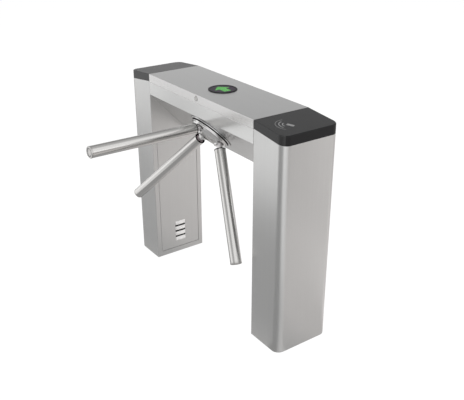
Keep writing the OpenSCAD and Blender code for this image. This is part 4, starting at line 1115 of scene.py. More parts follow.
@dataclass
class Door:
    """One access door: a folded panel, its lock housing, hinge barrels and louvres.

    The hood's two tables give its section from the top down and back up: shares of the
    rise, for the inner face also the least rise left inside, and shares of the height.
    """

    side: Side
    half: float = 114.0
    low: float = 29.0
    high: float = 686.0
    corner_radius: float = 1.0
    fold: float = 12.0
    fold_inset: float = 22.0
    axis_y: float = 106.0
    axis_depth: float = 8.0
    barrel_r: float = 5.5
    pin_r: float = 3.03
    barrel_height: float = 40.0
    barrel_z: Flat = (107.0, 568.0)
    lock_y: float = -92.0
    lock_face_r: float = 11.0
    lock_barrel_r: float = 8.5
    lock_barrel_length: float = 18.0
    lock_face_t: float = 2.0
    plug_r: float = 6.0
    louvre_half: float = 31.0
    louvre_height: float = 21.0
    louvre_foot: float = 2.5
    louvre_pitch: float = 31.0
    louvre_rise: float = 5.5
    louvre_least: float = 0.25
    louvre_skin: float = 0.9
    louvre_count: int = 4
    louvre_low: float = 66.0
    louvre_y: float = 1.0
    slot_low: float = 9.0
    slot_high: float = 4.5
    slot_inset: float = 1.2
    shoulder: tuple[float, ...] = (0.0, 0.5, 1.2, 2.4, 4.2, 7.0)
    hood_outer: tuple[Flat, ...] = ((0.0, 1.0), (0.16, 0.84), (0.52, 0.6), (0.9, 0.36),
                                    (1.0, 0.25))
    hood_inner: tuple[Point, ...] = ((1.0, 0.05, 0.23), (0.9, 0.04, 0.34), (0.52, 0.03, 0.56),
                                     (0.16, 0.02, 0.78), (0.0, 0.0, 0.9))
    # Size and place of the black sheet behind the slots, which is painted shade.
    shade_sheet_edge: float = 6.0
    shade_sheet_z: Flat = (8.0, 12.0)
    shade_sheet_x: Flat = (0.1, 2.6)

    def panel(self) -> Form:
        """Builds the panel, its two folds, the lock housing and the hinge barrels.

        Returns:
            The panel; the lock housing has the second slot.
        """
        x, sheet, inset = SIZES.inner_x, SIZES.sheet, self.fold_inset
        outline = rectangle((-self.half, self.low), (self.half, self.high),
                            (self.corner_radius,), 3)
        form = Form().along_x(outline, x, x + sheet)
        for z, turn in ((self.low, 1.0), (self.high, -1.0)):
            fold = rectangle((x + 0.2, z), (x + self.fold, z + turn * sheet),
                             (0.1, 0.3, 0.3, 0.1), 2)
            form.loft([[(u, y, w) for u, w in fold]
                       for y in (inset - self.half, self.axis_y - inset)])
        half, bore, tall = self.barrel_r, self.pin_r, self.barrel_height
        for z in self.barrel_z:
            form.lathe([(bore, 0.0), (half - 0.4, 0.0), (half, 0.4), (half, tall - 0.4),
                        (half - 0.4, tall), (bore, tall)],
                       Matrix.Translation((x + self.axis_depth, self.axis_y, z)), 40)
            form.block((x + sheet, self.axis_y - half, z),
                       (x + self.axis_depth - bore - 0.6, self.axis_y - half + 3.0, z + tall))
        face, barrel, bore = self.lock_face_r, self.lock_barrel_r, self.plug_r
        flat, length = self.lock_face_t, self.lock_face_t + self.lock_barrel_length
        return form.lathe([(bore, 0.0), (face - 0.7, 0.0), (face, 0.7), (face, flat),
                           (barrel, flat), (barrel, length), (bore, length)],
                          stand((x - flat, self.lock_y, SIZES.door_lock_z), 90.0, "Y"), 48, (1,))

    def slots(self) -> Form:
        """Gives the cuts behind the louvres.

        Returns:
            The cuts.
        """
        x, half, form = SIZES.inner_x, self.louvre_half - self.slot_inset, Form()
        for index in range(1, self.louvre_count):
            z = self.louvre_low + index * self.louvre_pitch
            form.block((x - 1.0, self.louvre_y - half, z - self.slot_low),
                       (x + SIZES.sheet + 1.0, self.louvre_y + half, z + self.slot_high))
        return form

    def hood(self) -> Form:
        """Builds one pressed hood, open at its foot, with soft shoulders.

        Returns:
            The hood.
        """
        tall, half, foot = self.louvre_height, self.louvre_half, self.louvre_foot
        loops = []
        for y in [u - half for u in self.shoulder] + [half - u for u in self.shoulder[::-1]]:
            inside = min(y + half, half - y) / self.shoulder[-1]
            swell = math.sin(min(inside, 1.0) * math.pi / 2)
            out = self.louvre_least + (self.louvre_rise - self.louvre_least) * swell
            outer = [(-out * share, tall * up) for share, up in self.hood_outer] + [(-out, foot)]
            inner = [(-max(out * share - self.louvre_skin, least), tall * up)
                     for share, least, up in self.hood_inner]
            loops.append([(u, y, w) for u, w in outer + [(inner[0][0], foot)] + inner])
        return Form().loft(loops)

    def build(self, rows: Repeater) -> None:
        """Makes the panel, the louvres and the black sheet behind them, which is painted shade.

        Args:
            rows: The tree that repeats the hoods.
        """
        flip, body, x = self.side.flip, self.side.label + "_door", SIZES.inner_x
        make_piece(body + "_panel", self.panel().move(flip), [LEG_STEEL, ZINC], body,
                   [body], cut=self.slots().move(flip), smooth=28.0)
        place = Matrix.Translation((self.side.value * x, self.louvre_y, self.louvre_low))
        # The hoods get the brighter copy of the door's steel: painted highlight.
        rows.make_piece(body + "_louvres", self.hood().move(flip), LOUVRE_STEEL_LIT, body, "stainless",
                        place, Count=self.louvre_count, Step=(0.0, 0.0, self.louvre_pitch * MM))
        # A black sheet behind the slots: painted shade inside the leg.
        top = self.louvre_low + (self.louvre_count - 1) * self.louvre_pitch + self.shade_sheet_z[1]
        edge = self.louvre_half + self.shade_sheet_edge
        shade_sheet = rectangle((self.louvre_y - edge, self.louvre_low + self.shade_sheet_z[0]),
                         (self.louvre_y + edge, top), (3.0,), 4)
        form = Form().along_x(shade_sheet, *(x + SIZES.sheet + depth for depth in self.shade_sheet_x))
        make_piece(body + "_shade_sheet", form.move(flip), [SLOT_SHADE_SHEET], body)


@dataclass
class Cap:
    """One moulded end cap with soft upper edges and a darker, less glossy end, which is painted
    shade.
    """

    side: Side
    wall: float = 3.0
    skirt: float = 12.0
    edge: float = 4.0
    steps: int = 7
    # How far the painted shade reaches in from the cap's end.
    shaded_end_depth: float = 8.0

    def form(self) -> Form:
        """Lofts the hollow cap from its inner ceiling out over the skirt to its top.

        Returns:
            The cap; its end has the second slot, which is painted shade.
        """
        s = SIZES
        outer = s.plan(s.sheet + s.fine_gap)
        inner = s.plan(s.sheet + s.fine_gap + self.wall)
        loops = [s.cap_top(inner, self.wall), s.cap_foot(inner, self.skirt),
                 s.cap_foot(outer, self.skirt), s.cap_foot(outer), s.cap_foot(s.plan(0.0, 0.0))]
        for step in range(self.steps + 1):
            turn = math.pi / 2 * step / self.steps
            line = s.plan(self.edge * (1.0 - math.cos(turn)), 0.0)
            loops.append(s.cap_top(line, self.edge * (1.0 - math.sin(turn))))
        # The end gets the darker copy of the cap's plastic: painted shade.
        return Form().loft(loops).paint(Axis.ALONG_BRIDGE, s.half_length - self.shaded_end_depth, 1)

    def build(self) -> None:
        """Makes the cap."""
        label = self.side.label + "_cap"
        make_piece(label + "_moulding", self.form().move(self.side.flip), [CAP_PLASTIC, CAP_END_SHADED],
                   "cabinet", [label], smooth=40.0)


@dataclass
class ReaderSymbol:
    """A plain contactless symbol printed on the near cap: waves, a card and a thin ring.

    Each band has a radius, half its turn in degrees and a width.
    """

    centre: Flat = (512.0, -52.0)
    facing: float = -120.0
    bands: tuple[Point, ...] = ((33.0, 55.0, 4.2), (19.0, 50.0, 4.2), (47.0, 75.0, 2.0))
    card: tuple[Flat, Flat] = ((-4.0, -5.0), (27.0, 11.0))
    card_turn: float = 28.0
    card_radius: float = 2.5
    sunk: float = 0.3
    lift: float = 0.12

    def band(self, radius: float, half_turn: float, width: float) -> list[Flat]:
        """Draws a curved stroke round the centre.

        Args:
            radius: The radius of the stroke's middle.
            half_turn: Half the angle that it covers, in degrees.
            width: Its width.

        Returns:
            The closed line's points.
        """
        turns = [math.radians(self.facing + half_turn * (step / 12 - 1.0)) for step in range(25)]
        sides = ((radius + width / 2, turns), (radius - width / 2, turns[::-1]))
        return [(self.centre[0] + r * math.cos(turn), self.centre[1] + r * math.sin(turn))
                for r, order in sides for turn in order]

    def build(self) -> None:
        """Makes the symbol as thin print on the cap's slope."""
        turn = Matrix.Rotation(math.radians(self.card_turn), 2)
        corners = [turn @ Vector(corner) + Vector(self.centre) for corner in corners_of(*self.card)]
        card = rounded([(corner.x, corner.y, self.card_radius) for corner in corners], 4)
        form = Form()
        for stroke in [self.band(*band) for band in self.bands] + [card]:
            form.loft([SIZES.cap_top(stroke, low) for low in (self.sunk, -self.lift)])
        make_piece("near_reader_symbol", form, [PRINT], "cabinet")


@dataclass
class Bridge:
    """The folded trough between the legs, with the round hole behind the rotor."""

    half_length: float = 414.7
    path: tuple[Flat, ...] = (
        (-135.0, 969.0), (-135.0, 963.0), (-140.0, 963.0), (-140.0, 900.0), (46.5, 700.0),
        (140.0, 700.0), (140.0, 963.0), (125.0, 963.0))
    keeper: tuple[Flat, ...] = ((-137.0, 937.5), (-137.0, 953.5), (-113.5, 953.5),
                                (-113.5, 989.5), (-121.0, 989.5))
    keeper_x: Flat = (12.0, 30.0)
    keeper_bend: float = 0.4
    face_hole_r: float = 46.0
    screw_hole_r: float = 3.15
    cut_z: Flat = (-4.0, 3.0)

    def build(self) -> None:
        """Makes the trough and the keeper of the lid's lock."""
        s, (low, high) = SIZES, self.cut_z
        form = Form().along_x(sheet_section(self.path, s.sheet, s.bend), -self.half_length,
                              self.half_length)
        form.along_x(sheet_section(self.keeper, s.sheet, self.keeper_bend), *self.keeper_x)
        cut = Form().rod(self.face_hole_r, low, high, s.hub(), 72)
        for place in s.screws(low):
            cut.rod(self.screw_hole_r, 0.0, high - low, place, 24)
        make_piece("bridge_trough", form, [BRIDGE_STEEL], "cabinet", ["bridge"],
                   cut=cut, smooth=SHEET_SMOOTH)


@dataclass
class Lid:
    """The lift-up lid with its flanges, ears and holes."""

    half_length: float = 413.5
    front_lip_z: float = 963.8
    # How far in from the front the brighter copy of the lid's steel reaches, over the flange and
    # part of the bend: painted highlight.
    highlight_depth: float = 2.5
    hinge_x: Flat = (-260.0, 260.0)
    hinge: Flat = (134.0, 994.0)
    notch_half: float = 14.0
    ear_x: Flat = (-16.5, 16.5)
    ear_w: float = 5.0
    ear_r: float = 4.0
    ear_bore: float = 2.05
    sign_hole_r: float = 57.3
    lock_hole_r: float = 9.65

    def build(self) -> None:
        """Makes the lid; its front flange and the front of its bend have the second slot, a
        brighter copy of its steel, which is painted highlight.
        """
        s, half = SIZES, SIZES.half_depth
        path = [(half, s.seam_z), (half, s.height), (-half, s.height), (-half, self.front_lip_z)]
        form = Form().along_x(sheet_section(path, s.sheet, s.bend), -self.half_length,
                              self.half_length)
        # Painted highlight: the flange and the front of the bend get the brighter copy of the same
        # steel.
        form.paint(Axis.ACROSS_BRIDGE, self.highlight_depth - half, 1)
        ear = [(self.ear_bore, 0.0), (self.ear_r, 0.0), (self.ear_r, self.ear_w),
               (self.ear_bore, self.ear_w)]
        cut = Form()
        for x in self.hinge_x:
            for shift in self.ear_x:
                place = stand((x + shift - self.ear_w / 2, *self.hinge), 90.0, "Y")
                form.lathe(ear, place, 32)
            cut.block((x - self.notch_half, half - s.sheet - 1.0, s.seam_z - 2.0),
                      (x + self.notch_half, half + 1.0, s.height - s.sheet))
        cut.rod(self.sign_hole_r, s.height - 4.0, s.height + 1.0, steps=96)
        cut.rod(self.lock_hole_r, 0.0, 6.0, stand((0.0, -half - 2.0, s.lid_lock_z), -90.0, "X"), 48)
        make_piece("lid_cover", form, [LID_STEEL, LID_FLANGE_LIT_COPY], "lid", ["lid"],
                   cut=cut, smooth=SHEET_SMOOTH)


@dataclass
class LidLock:
    """The round key lock in the lid's front flange."""

    face_r: float = 12.0
    barrel_r: float = 9.5
    face_t: float = 2.0
    barrel_length: float = 20.0
    bore: float = 6.02

    def build(self) -> None:
        """Makes the body with its turned ring."""
        face, barrel, bore, flat = self.face_r, self.barrel_r, self.bore, self.face_t
        deep = flat + self.barrel_length
        profile = [(bore, 1.0), (bore + 0.6, 0.4), (bore + 1.2, 0.0), (face - 1.6, 0.0),
                   (face - 0.5, 0.4), (face, 1.2), (face, flat), (barrel, flat), (barrel, deep),
                   (bore, deep)]
        place = stand((0.0, -SIZES.half_depth - flat, SIZES.lid_lock_z), -90.0, "X")
        form = Form().lathe(profile, place, 64, (1, 0, 0, 0, 0, 1, 1, 0, 0, 1))
        make_piece("lid_lock_ring", form, [TIP_STEEL, BLACK_OXIDE], "lid",
                   ["lid_lock_body"])


@dataclass
class Sign:
    """The round direction sign: rim, dark window and a lit arrow of small lamps."""

    rim_r: float = 65.0
    cup_r: float = 57.0
    cup_wall: float = 2.0
    cup_depth: float = 18.0
    rise: float = 3.0
    window_top: float = 1002.2
    window_t: float = 4.0
    window_gap: float = 0.15
    head_x: float = -40.0
    neck_x: float = 0.0
    tail_x: float = 40.0
    head_half: float = 41.0
    stem_half: float = 18.0
    arrow_t: float = 1.2
    arrow_sunk: float = 0.35
    lamp_sunk: float = 0.4
    lamp_area: float = 120.0
    lamp_pitch: float = 5.0
    lamp_r: float = 1.7
    lamp_lift: float = 0.1

    def arrow(self, radius: float) -> list[Flat]:
        """Draws the arrow; it points along -X.

        Args:
            radius: The radius of its corners.

        Returns:
            The closed line's points.
        """
        neck, tail, wide, stem = self.neck_x, self.tail_x, self.head_half, self.stem_half
        corners = [(self.head_x, 0.0), (neck, -wide), (neck, -stem), (tail, -stem), (tail, stem),
                   (neck, stem), (neck, wide)]
        return rounded([(*corner, radius) for corner in corners], 4)

    def build(self, fill: Repeater) -> None:
        """Makes the rim, the window, the arrow and its lamps.

        Args:
            fill: The tree that spreads the lamps over the arrow.
        """
        rim, cup, lens = self.rim_r, self.cup_r, self.cup_r - self.cup_wall
        height, low, top = SIZES.height, SIZES.height - self.cup_depth, SIZES.height + self.rise
        bezel = Form().lathe([
            (0.0, low), (cup - 1.0, low), (cup, low + 1.0), (cup, height), (rim, height),
            (rim, height + 1.0), (rim - 0.6, height + 2.1), (rim - 1.8, top - 0.25),
            (rim - 3.2, top), (lens + 0.8, top), (lens, top - 0.5), (lens, low + self.cup_wall),
            (0.0, low + self.cup_wall)], steps=128)
        make_piece("sign_rim", bezel, [BEZEL_PLASTIC], "lid", ["indicator_bezel"])
        edge, top = lens - self.window_gap, self.window_top
        low, deep = top - self.window_t, top - self.arrow_t
        window = Form().lathe([(0.0, low), (edge, low), (edge, top - 0.4), (edge - 0.4, top),
                               (0.0, top)], steps=128)
        make_piece("sign_window", window, [LENS_PLASTIC], "lid", ["indicator_lens"],
                   cut=Form().prism(self.arrow(1.2), deep, top + 2.0))
        figure = Form().prism(self.arrow(1.0), deep, top - self.arrow_sunk)
        make_piece("sign_arrow", figure, [ARROW_LIGHT], "lid", ["indicator_arrow"])
        fill.make_piece("sign_lamps", Form().prism(self.arrow(1.0), -0.5, 0.0), LAMP_LIGHT, "lid",
                        "arrow_green", Matrix.Translation((0.0, 0.0, top - self.lamp_sunk)),
                        Width=self.lamp_area * MM, Pitch=self.lamp_pitch * MM,
                        Dot_Radius=self.lamp_r * MM, Lift=self.lamp_lift * MM)


@dataclass
class Flange:
    """The fixed ring round the rotor, with its countersunk screws."""

    outer_r: float = 109.5
    inner_r: float = 100.0
    hole_r: float = 46.0
    floor_t: float = 3.5
    rim_h: float = 5.0
    # Height of the black band at the ring's foot: painted contact shadow.
    shade_band_h: float = 1.6
    head_r: float = 6.0
    screw_r: float = 3.0
    screw_gap: float = 0.15
    screw_length: float = 9.0

    def build(self, rings: Repeater) -> None:
        """Makes the dish, whose black bands of painted shade have the second slot, and its ring of
        screws.

        Args:
            rings: The tree that repeats the screws.
        """
        hub, outer, inner, hole = SIZES.hub(), self.outer_r, self.inner_r, self.hole_r
        rim, top = self.rim_h, self.floor_t
        # The second slot paints the foot's contact shadow, and the shade on the rim's inner wall
        # and on the floor under the rotor.
        form = Form().lathe([
            (hole, 0.0), (outer, 0.0), (outer, self.shade_band_h), (outer, rim - 1.2),
            (outer - 0.35, rim - 0.35), (outer - 1.2, rim), (inner + 0.6, rim),
            (inner, rim - 0.6), (inner, top), (hole, top)], hub, 160,
            (0, 1, 0, 0, 0, 0, 0, 1, 1, 0))
        bore, head = self.screw_r + self.screw_gap, self.head_r + self.screw_gap
        sink = [(0.0, -1.0), (bore, -1.0), (bore, top - (head - bore)), (head, top),
                (head, top + 1.0), (0.0, top + 1.0)]
        cut = Form()
        for place in SIZES.screws():
            cut.lathe(sink, place, 32)
        make_piece("rotor_ring", form, [RING_STEEL, BLACK_GAP_SHADE], "cabinet",
                   ["hub_flange"], cut=cut)
        bore, head, hexagon = self.screw_r, self.head_r, self.screw_r / 2
        cone, foot = head - bore, -self.screw_length
        screw = Form().lathe([(0.0, foot), (bore, foot), (bore, top - cone), (head, top),
                              (hexagon + 0.4, top), (hexagon, top - 0.4), (hexagon, top - cone / 2),
                              (0.0, top - cone / 2)], steps=30)
        rings.make_piece("rotor_ring_screws", screw, ZINC, "cabinet", "zinc_steel", hub,
                         ["frame_screws"], Count=SIZES.screw_count,
                         Radius=SIZES.screw_circle_r * MM,
                         First_Turn=math.radians(SIZES.screw_turn))


@dataclass
class Hub:
    """The cast hub: a rim, a low dome and three sockets."""

    rim_r: float = 96.0
    floor: float = 4.5
    rim_t: float = 9.0
    # Height of the black band at the rim's foot: painted shade of the gap to the ring.
    shade_band_h: float = 4.7
    dome_inset: float = 4.0
    dome_rise: float = 28.0
    dome_steps: int = 14
    socket_r: float = 24.0
    socket_root: float = 62.0
    socket_end: float = 100.0
    socket_chamfer: float = 4.0
    spigot_r: float = 13.03
    spigot_root: float = 78.5
    screw_place: float = 90.0
    screw_turn: float = 40.0
    screw_r: float = 4.15
    screw_reach: Flat = (5.0, 40.0)
    bolt_web: float = 32.0
    bolt_r: float = 5.15
    recess_r: float = 17.0
    shaft_r: float = 14.03
    shaft_front: float = 28.0
    keyway: tuple[Point, Point] = ((-4.1, 9.9, 5.9), (4.1, 17.1, 24.0))
    edge: float = 0.7

    def dome(self) -> Form:
        """Turns the rim and the dome, with the shaft's seat and the bolt's recess.

        Returns:
            The dome; black bands of painted shade, on the rim's underside and foot and where the
            dome meets the rim, have the second slot.
        """
        r, low, top = self.rim_r, self.floor, self.floor + self.rim_t
        wide = r - self.dome_inset
        profile = [(self.shaft_r, low), (r - 0.5, low), (r, low + 0.5), (r, low + self.shade_band_h),
                   (r, top - 2.0), (r - 0.6, top - 0.6), (r - 2.0, top)]
        # Painted shade: the rim's underside and foot, and the flat ring where the dome meets the
        # rim.
        slots = [1, 1, 1, 0, 0, 0, 1]
        for step in range(self.dome_steps + 1):
            turn = math.acos(self.recess_r / wide) * step / self.dome_steps
            profile.append((wide * math.cos(turn), top + self.dome_rise * math.sin(turn)))
        profile += [(self.recess_r, self.bolt_web), (self.bolt_r, self.bolt_web),
                    (self.bolt_r, self.shaft_front), (self.shaft_r, self.shaft_front)]
        slots += [0] * (len(profile) - len(slots))
        return Form().lathe(profile, SIZES.hub(), 144, slots)

    def build(self) -> None:
        """Joins dome and sockets, bores them and softens the edges."""
        join, cut, place = Form(), Form(), SIZES.hub()
        r, end, chamfer = self.socket_r, self.socket_end, self.socket_chamfer
        socket = [(0.0, self.socket_root), (r, self.socket_root), (r, end - chamfer),
                  (r - chamfer * 0.35, end - 1.0), (r - chamfer, end), (0.0, end)]
        for turn in sorted(SIZES.arm_turns):
            arm = SIZES.arm(turn)
            join.lathe(socket, arm, 72)
            cut.rod(self.spigot_r, self.spigot_root, end + 3.0, arm, 64)
            screw = (arm @ Matrix.Translation((0.0, 0.0, self.screw_place))
                     @ Matrix.Rotation(math.radians(-self.screw_turn), 4, "Z")
                     @ Matrix.Rotation(math.radians(-90.0), 4, "X"))
            cut.rod(self.screw_r, *self.screw_reach, screw)
        cut.block(*self.keyway, place)
        under = Form().rod(140.0, -60.0, self.floor, place, 64)
        make_piece("rotor_hub", self.dome(), [HUB_METAL, BLACK_GAP_SHADE], "rotor", ["hub"],
                   cut=cut, join=join.without(under), edge=self.edge, smooth=30.0)


@dataclass
class Arm:
    """One arm: a polished tube on a turned spigot, with a collar and a domed tip."""

    letter: str
    turn: float
    tube_r: float = 25.0
    wall: float = 2.0
    start: float = 122.0
    reach: float = 635.0
    head_t: float = 6.0
    head_r: float = 25.5
    round_r: float = 3.0
    spigot_r: float = 13.0
    spigot_root: float = 78.8
    plug_r: float = 22.9
    plug_length: float = 30.0
    collar_r: float = 25.8
    collar_in: float = 21.3
    collar_t: float = 4.0

    def turned(self, profile: Sequence[Flat], slots: Sequence[int] = (0,), steps: int = 96) -> Form:
        """Turns a profile round the arm's axis."""
        return Form().lathe(profile, SIZES.arm(self.turn), steps, slots)

    def tube(self) -> Form:
        """Turns the tube with lightly broken edges."""
        r, low, high = self.tube_r, self.start, self.reach - self.head_t
        return self.turned([(r - self.wall, low), (r - 0.4, low), (r, low + 0.4), (r, high - 0.4),
                            (r - 0.4, high), (r - self.wall, high)], steps=128)

    def spigot(self) -> Form:
        """Turns the spigot with its groove, and the plug in the tube's mouth.

        Returns:
            The spigot, in a light satin finish that is partly painted highlight; the plug's face
            has the second slot, a pinkish light tone that is partly painted reflection, and its
            edge the third.
        """
        r, root, low, plug = self.spigot_r, self.spigot_root, self.start, self.plug_r
        return self.turned([
            (0.0, root), (r, root), (r, 104.0), (r - 0.6, 104.6), (r - 0.6, 106.4), (r, 107.0),
            (r, low + 3.0), (plug - 4.0, low + 3.0), (plug - 4.0, low + 0.5), (plug - 3.5, low),
            (plug, low), (plug, low + self.plug_length), (0.0, low + self.plug_length)],
            (0, 0, 0, 0, 0, 0, 1, 1, 2, 2, 0, 0))

    def collar(self) -> Form:
        """Turns the rubber collar at the tube's mouth."""
        r, inner, low, high = self.collar_r, self.collar_in, self.start - self.collar_t, self.start
        return self.turned([(inner, high), (inner, low + 0.4), (inner + 0.4, low), (r - 1.2, low),
                            (r - 0.35, low + 0.45), (r, low + 1.3), (r, high)])

    def tip(self) -> Form:
        """Turns the domed end plug with its sunk face and fine ring.

        Returns:
            The tip; the groove round its face has the second slot, a dark finish that is painted
            shade.
        """
        r, top, soft = self.head_r, self.reach, self.round_r
        base, ring = top - self.head_t, r - soft - 4.0
        turns = [math.pi / 2 * step / 6 for step in range(7)]
        edge = [(r - soft + soft * math.cos(turn), top - soft + soft * math.sin(turn))
                for turn in turns]
        profile = [(0.0, base - 22.0), (self.plug_r, base - 22.0), (self.plug_r, base),
                   (r - 0.3, base), (r, base + 0.3), *edge, (ring + 1.0, top), (ring, top - 1.1),
                   (ring - 4.0, top - 1.2), (ring - 5.0, top - 0.4), (ring - 7.0, top - 0.4),
                   (ring - 8.0, top - 1.2), (0.0, top - 1.2)]
        return self.turned(profile, [int(radius in (ring, ring + 1.0)) for radius, _ in profile])

    def build(self) -> None:
        """Makes the arm's pieces; the first arm's pieces stand for the shared nodes."""
        tube, own = "arm_tube_" + self.letter, self.letter == "a"
        for name, form, finishes, slot, replaces in (
                ("tube", self.tube(), [ARM_STEEL], "polished_steel", [tube]),
                ("spigot", self.spigot(), [SPIGOT_METAL_LIT, PLUG_METAL_LIT, RUBBER], "polished_steel",
                 ["arm_spigots"] * own),
                ("collar", self.collar(), [RUBBER], "black_rubber", ["arm_collars"] * own),
                ("tip", self.tip(), [TIP_STEEL, GROOVE_SHADE], "tip_metal", ["arm_tips"] * own)):
            make_piece(f"arm_{self.letter}_{name}", form, finishes, "rotor", replaces)


def aimed(place: Point, direction: Vector) -> Matrix:
    """Gives the frame of a camera or lamp that looks in a direction."""
    return Matrix.Translation(place) @ direction.to_track_quat("-Z", "Y").to_matrix().to_4x4()


@dataclass(frozen=True)
class SoftBox:
    """A soft lamp that metal doesn't show."""

    name: str
    place: Point
    aim: Point
    size: Flat
    power: float

    def build(self) -> None:
        """Hangs the lamp."""
        data = bpy.data.lights.new(self.name, "AREA")
        data.shape = "RECTANGLE"
        data.size, data.size_y = self.size
        data.energy = self.power
        lamp = show(self.name, data)
        lamp.visible_glossy = False
        lamp.matrix_world = aimed(self.place, Vector(self.aim) - Vector(self.place))


@dataclass
class Studio:
    """The photograph's camera, a pale floor, soft lamps and the world."""

    camera_place: Point = (2.4400, -1.6674, 1.8566)
    azimuth: float = 54.87
    elevation: float = 25.28
    roll: float = -0.06
    lens: float = 53.55
    floor_half: float = 30.0
    floor_drop: float = 0.0005
    floor_glow: float = 1.1
    floor_glow_share: float = 0.86
    mirror_slant: float = 1.423
    mirror_strength: float = 1.55
    fill_strength: float = 0.5
    patch_aim: Point = (-0.757, -0.448, 0.475)
    sky: tuple[Flat, ...] = ((0.0, 1.0), (0.2, 0.76), (0.36, 0.46), (0.57, 0.33), (0.82, 0.46),
                             (1.0, 0.46))
    boxes: tuple[SoftBox, ...] = (
        SoftBox("front box", (-1.6, -4.2, 2.4), (0.0, 0.0, 0.7), (3.0, 2.0), 150.0),
        SoftBox("side box", (4.2, 1.2, 2.6), (0.2, 0.0, 0.6), (2.4, 2.4), 90.0),
        SoftBox("top box", (-0.4, 0.4, 4.4), (0.0, 0.0, 0.8), (3.0, 3.0), 60.0))

    def build(self) -> None:
        """Makes the whole studio."""
        self.camera()
        self.floor()
        for box in self.boxes:
            box.build()
        self.world()
        bpy.context.scene.view_settings.view_transform = "Standard"

    def camera(self) -> None:
        """Stands the camera where the photograph was taken from."""
        data = bpy.data.cameras.new("camera")
        data.lens, data.sensor_width, data.clip_end = self.lens, 36.0, 200.0
        azimuth, elevation = math.radians(self.azimuth), math.radians(self.elevation)
        back = Vector((math.sin(azimuth) * math.cos(elevation),
                       -math.cos(azimuth) * math.cos(elevation), math.sin(elevation)))
        roll = Matrix.Rotation(math.radians(self.roll), 4, "Z")
        camera = show("camera", data)
        camera.matrix_world = aimed(self.camera_place, -back) @ roll
        bpy.context.scene.camera = camera

    def sheen(self, nodes: NodeWriter) -> Socket:
        """Writes the light that the floor sends into the metal's reflections.

        The zones are those patches of floor, in metres, that the faces mirror. A face that
        stands upright mirrors the floor along slanted lines, and the near leg's round corner
        along rays, each with its own turn.

        Args:
            nodes: The floor's nodes.

        Returns:
            The light's colour.
        """
        across, along = nodes.along(Axis.ACROSS_BRIDGE), nodes.along(Axis.ALONG_BRIDGE)
        ahead, line = across * -1.0, along - across * self.mirror_slant
        turn = nodes.math("ARCTAN2", across + 0.1, along - 0.56)
        left = (along * -1.0).between(0.0, 0.9)
        front = (left * 0.315 - across).between(1.18, 1.6)
        near = along.between(0.95, 1.35) * ahead.between(-0.1, 0.4)
        back = across.between(-0.25, 0.1) * (along.between(-0.8, -0.2) * 0.6 + 0.4)
        gap = along.between(0.1, 0.5) * (1.0 - near) * ahead.between(0.7, 1.0)
        behind = line.within((-1.0, -0.7), (-0.15, 0.05)) * across.between(0.2, 1.1)
        beyond = line.within((-0.7, -0.45), (-0.15, 0.05)) * ahead.between(0.1, 0.4)
        nook = line.within((-0.1, 0.1), (0.3, 0.4)) * across.within((0.1, 0.3), (0.6, 0.9))
        dull = line.within((0.42, 0.5), (0.6, 0.7)) * ahead.between(1.7, 2.0)
        right = turn.between(-0.1, 0.1) * line.between(0.0, 0.2)
        dark = turn.within((-2.2, -1.95), (-1.05, -0.8))
        bright = turn.within((-0.75, -0.5), (0.15, 0.4))
        far_behind = across.between(1.0, 1.8) * line.between(0.0, -0.3)
        far_right = along.between(0.6, 1.4) * 0.08 - along.between(1.4, 2.8) * 0.3 - 0.08
        level = (front * (0.97 - beyond * 0.8) + beyond * 0.08 + near * 0.5 + back * 0.4
                 - gap * 0.35 + behind * (0.28 + far_behind * 0.2) + nook * 0.35 - dull * 0.5
                 + bright * 0.22 + right * far_right)
        level = (level * (1.0 - dark * 0.92)).between(0.0, 1.0)
        warm = nodes.blend(back, nodes.blend(level, grey(0.46), grey(1.25)), (1.02, 0.985, 0.97),
                           "MULTIPLY")
        return nodes.blend(dark, warm, grey(0.8), "MULTIPLY")

    def floor(self) -> None:
        """Lays a pale floor that shows white to the camera and keeps a soft shadow."""
        half = self.floor_half
        corners = corners_of((-half, -half), (half, half))
        mesh = bpy.data.meshes.new("floor")
        mesh.from_pydata([(x, y, -self.floor_drop) for x, y in corners], [], [(0, 1, 2, 3)])
        floor = show("floor", mesh)
        mesh.materials.append(bpy.data.materials.new("floor"))
        nodes = NodeWriter.of(mesh.materials[0])
        path = nodes.add("LightPath")
        pale = nodes.blend(nodes.noise(2.0).between(0.2, 0.8), grey(0.74), grey(0.76))
        shown = nodes.mixed(nodes.value(path, "Is Camera Ray") * self.floor_glow_share,
                            nodes.shader("BsdfDiffuse", Color=pale),
                            nodes.shader("Emission", Color=WHITE, Strength=self.floor_glow))
        sheen = nodes.shader("Emission", Color=self.sheen(nodes), Strength=1.0)
        surface = nodes.mixed(nodes.value(path, "Is Glossy Ray"), shown, sheen)
        nodes.add("OutputMaterial", inputs={"Surface": surface})

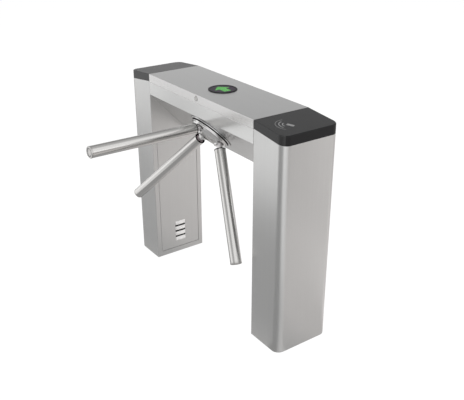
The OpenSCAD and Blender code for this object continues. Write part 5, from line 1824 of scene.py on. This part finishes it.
    def mirrored_sky(self, nodes: NodeWriter) -> Socket:
        """Writes the world's colour in reflections: a gradient with brighter and darker parts.

        Args:
            nodes: The world's nodes.

        Returns:
            The colour.
        """
        direction = nodes.add("TexCoord").outputs["Generated"]
        split = nodes.add("SeparateXYZ", inputs={0: direction})
        along, across, height = (nodes.value(split, axis.value) for axis in Axis)
        stops = [(place, grey(level)) for place, level in self.sky]
        sky = nodes.add("ValToRGB", {"stops": stops}, {0: height}).outputs[0]
        facing = nodes.add("VectorMath", {"operation": "DOT_PRODUCT"},
                           {0: direction, 1: self.patch_aim})
        patch = nodes.value(facing, "Value").between(0.96, 0.98)
        side = along.between(0.15, 0.42)
        rear = (across - along).between(0.55, 1.1) * height.between(0.14, 0.32)
        edge = (along * -1.0).between(0.82, 0.97) * height.between(0.02, 0.12)
        edge = nodes.math("MAXIMUM", edge, across.between(0.8, 0.98))
        shaded = nodes.math("MAXIMUM", rear * 0.7, edge * 0.75)
        lit = nodes.math("MINIMUM", side * 0.68 + patch, 1.0)
        return nodes.blend(lit, nodes.blend(shaded, sky, grey(0.21)), WHITE)

    def world(self) -> None:
        """White to the camera; a soft studio gradient in reflections; grey fill light."""
        world = bpy.data.worlds.new("studio")
        bpy.context.scene.world = world
        nodes = NodeWriter.of(world)
        path = nodes.add("LightPath")
        seen = nodes.shader("Background", Color=WHITE, Strength=1.0)
        fill = nodes.shader("Background", Color=WHITE, Strength=self.fill_strength)
        mirrored = nodes.shader("Background", Color=self.mirrored_sky(nodes),
                                Strength=self.mirror_strength)
        unseen = nodes.mixed(nodes.value(path, "Is Glossy Ray"), fill, mirrored)
        shown = nodes.math("MAXIMUM", nodes.value(path, "Is Camera Ray"),
                           nodes.value(path, "Is Transmission Ray"))
        nodes.add("OutputWorld", inputs={"Surface": nodes.mixed(shown, unseen, seen)})


def main() -> None:
    """Builds the studio and every piece, and dresses the rest."""
    logging.basicConfig(level=logging.INFO, format="%(name)s: %(message)s")
    Studio().build()
    for finish, names in NODE_FINISHES.items():
        for name in names:
            dress(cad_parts[name], finish)
    rows, rings, fill = (Repeater(pattern) for pattern in Pattern)
    for side in Side:
        Leg(side).build()
        Door(side).build(rows)
        Cap(side).build()
    ReaderSymbol().build()
    Bridge().build()
    Lid().build()
    LidLock().build()
    Sign().build(fill)
    Flange().build(rings)
    Hub().build()
    for letter, turn in zip("abc", SIZES.arm_turns):
        Arm(letter, turn).build()


if __name__ == "__main__":
    main()
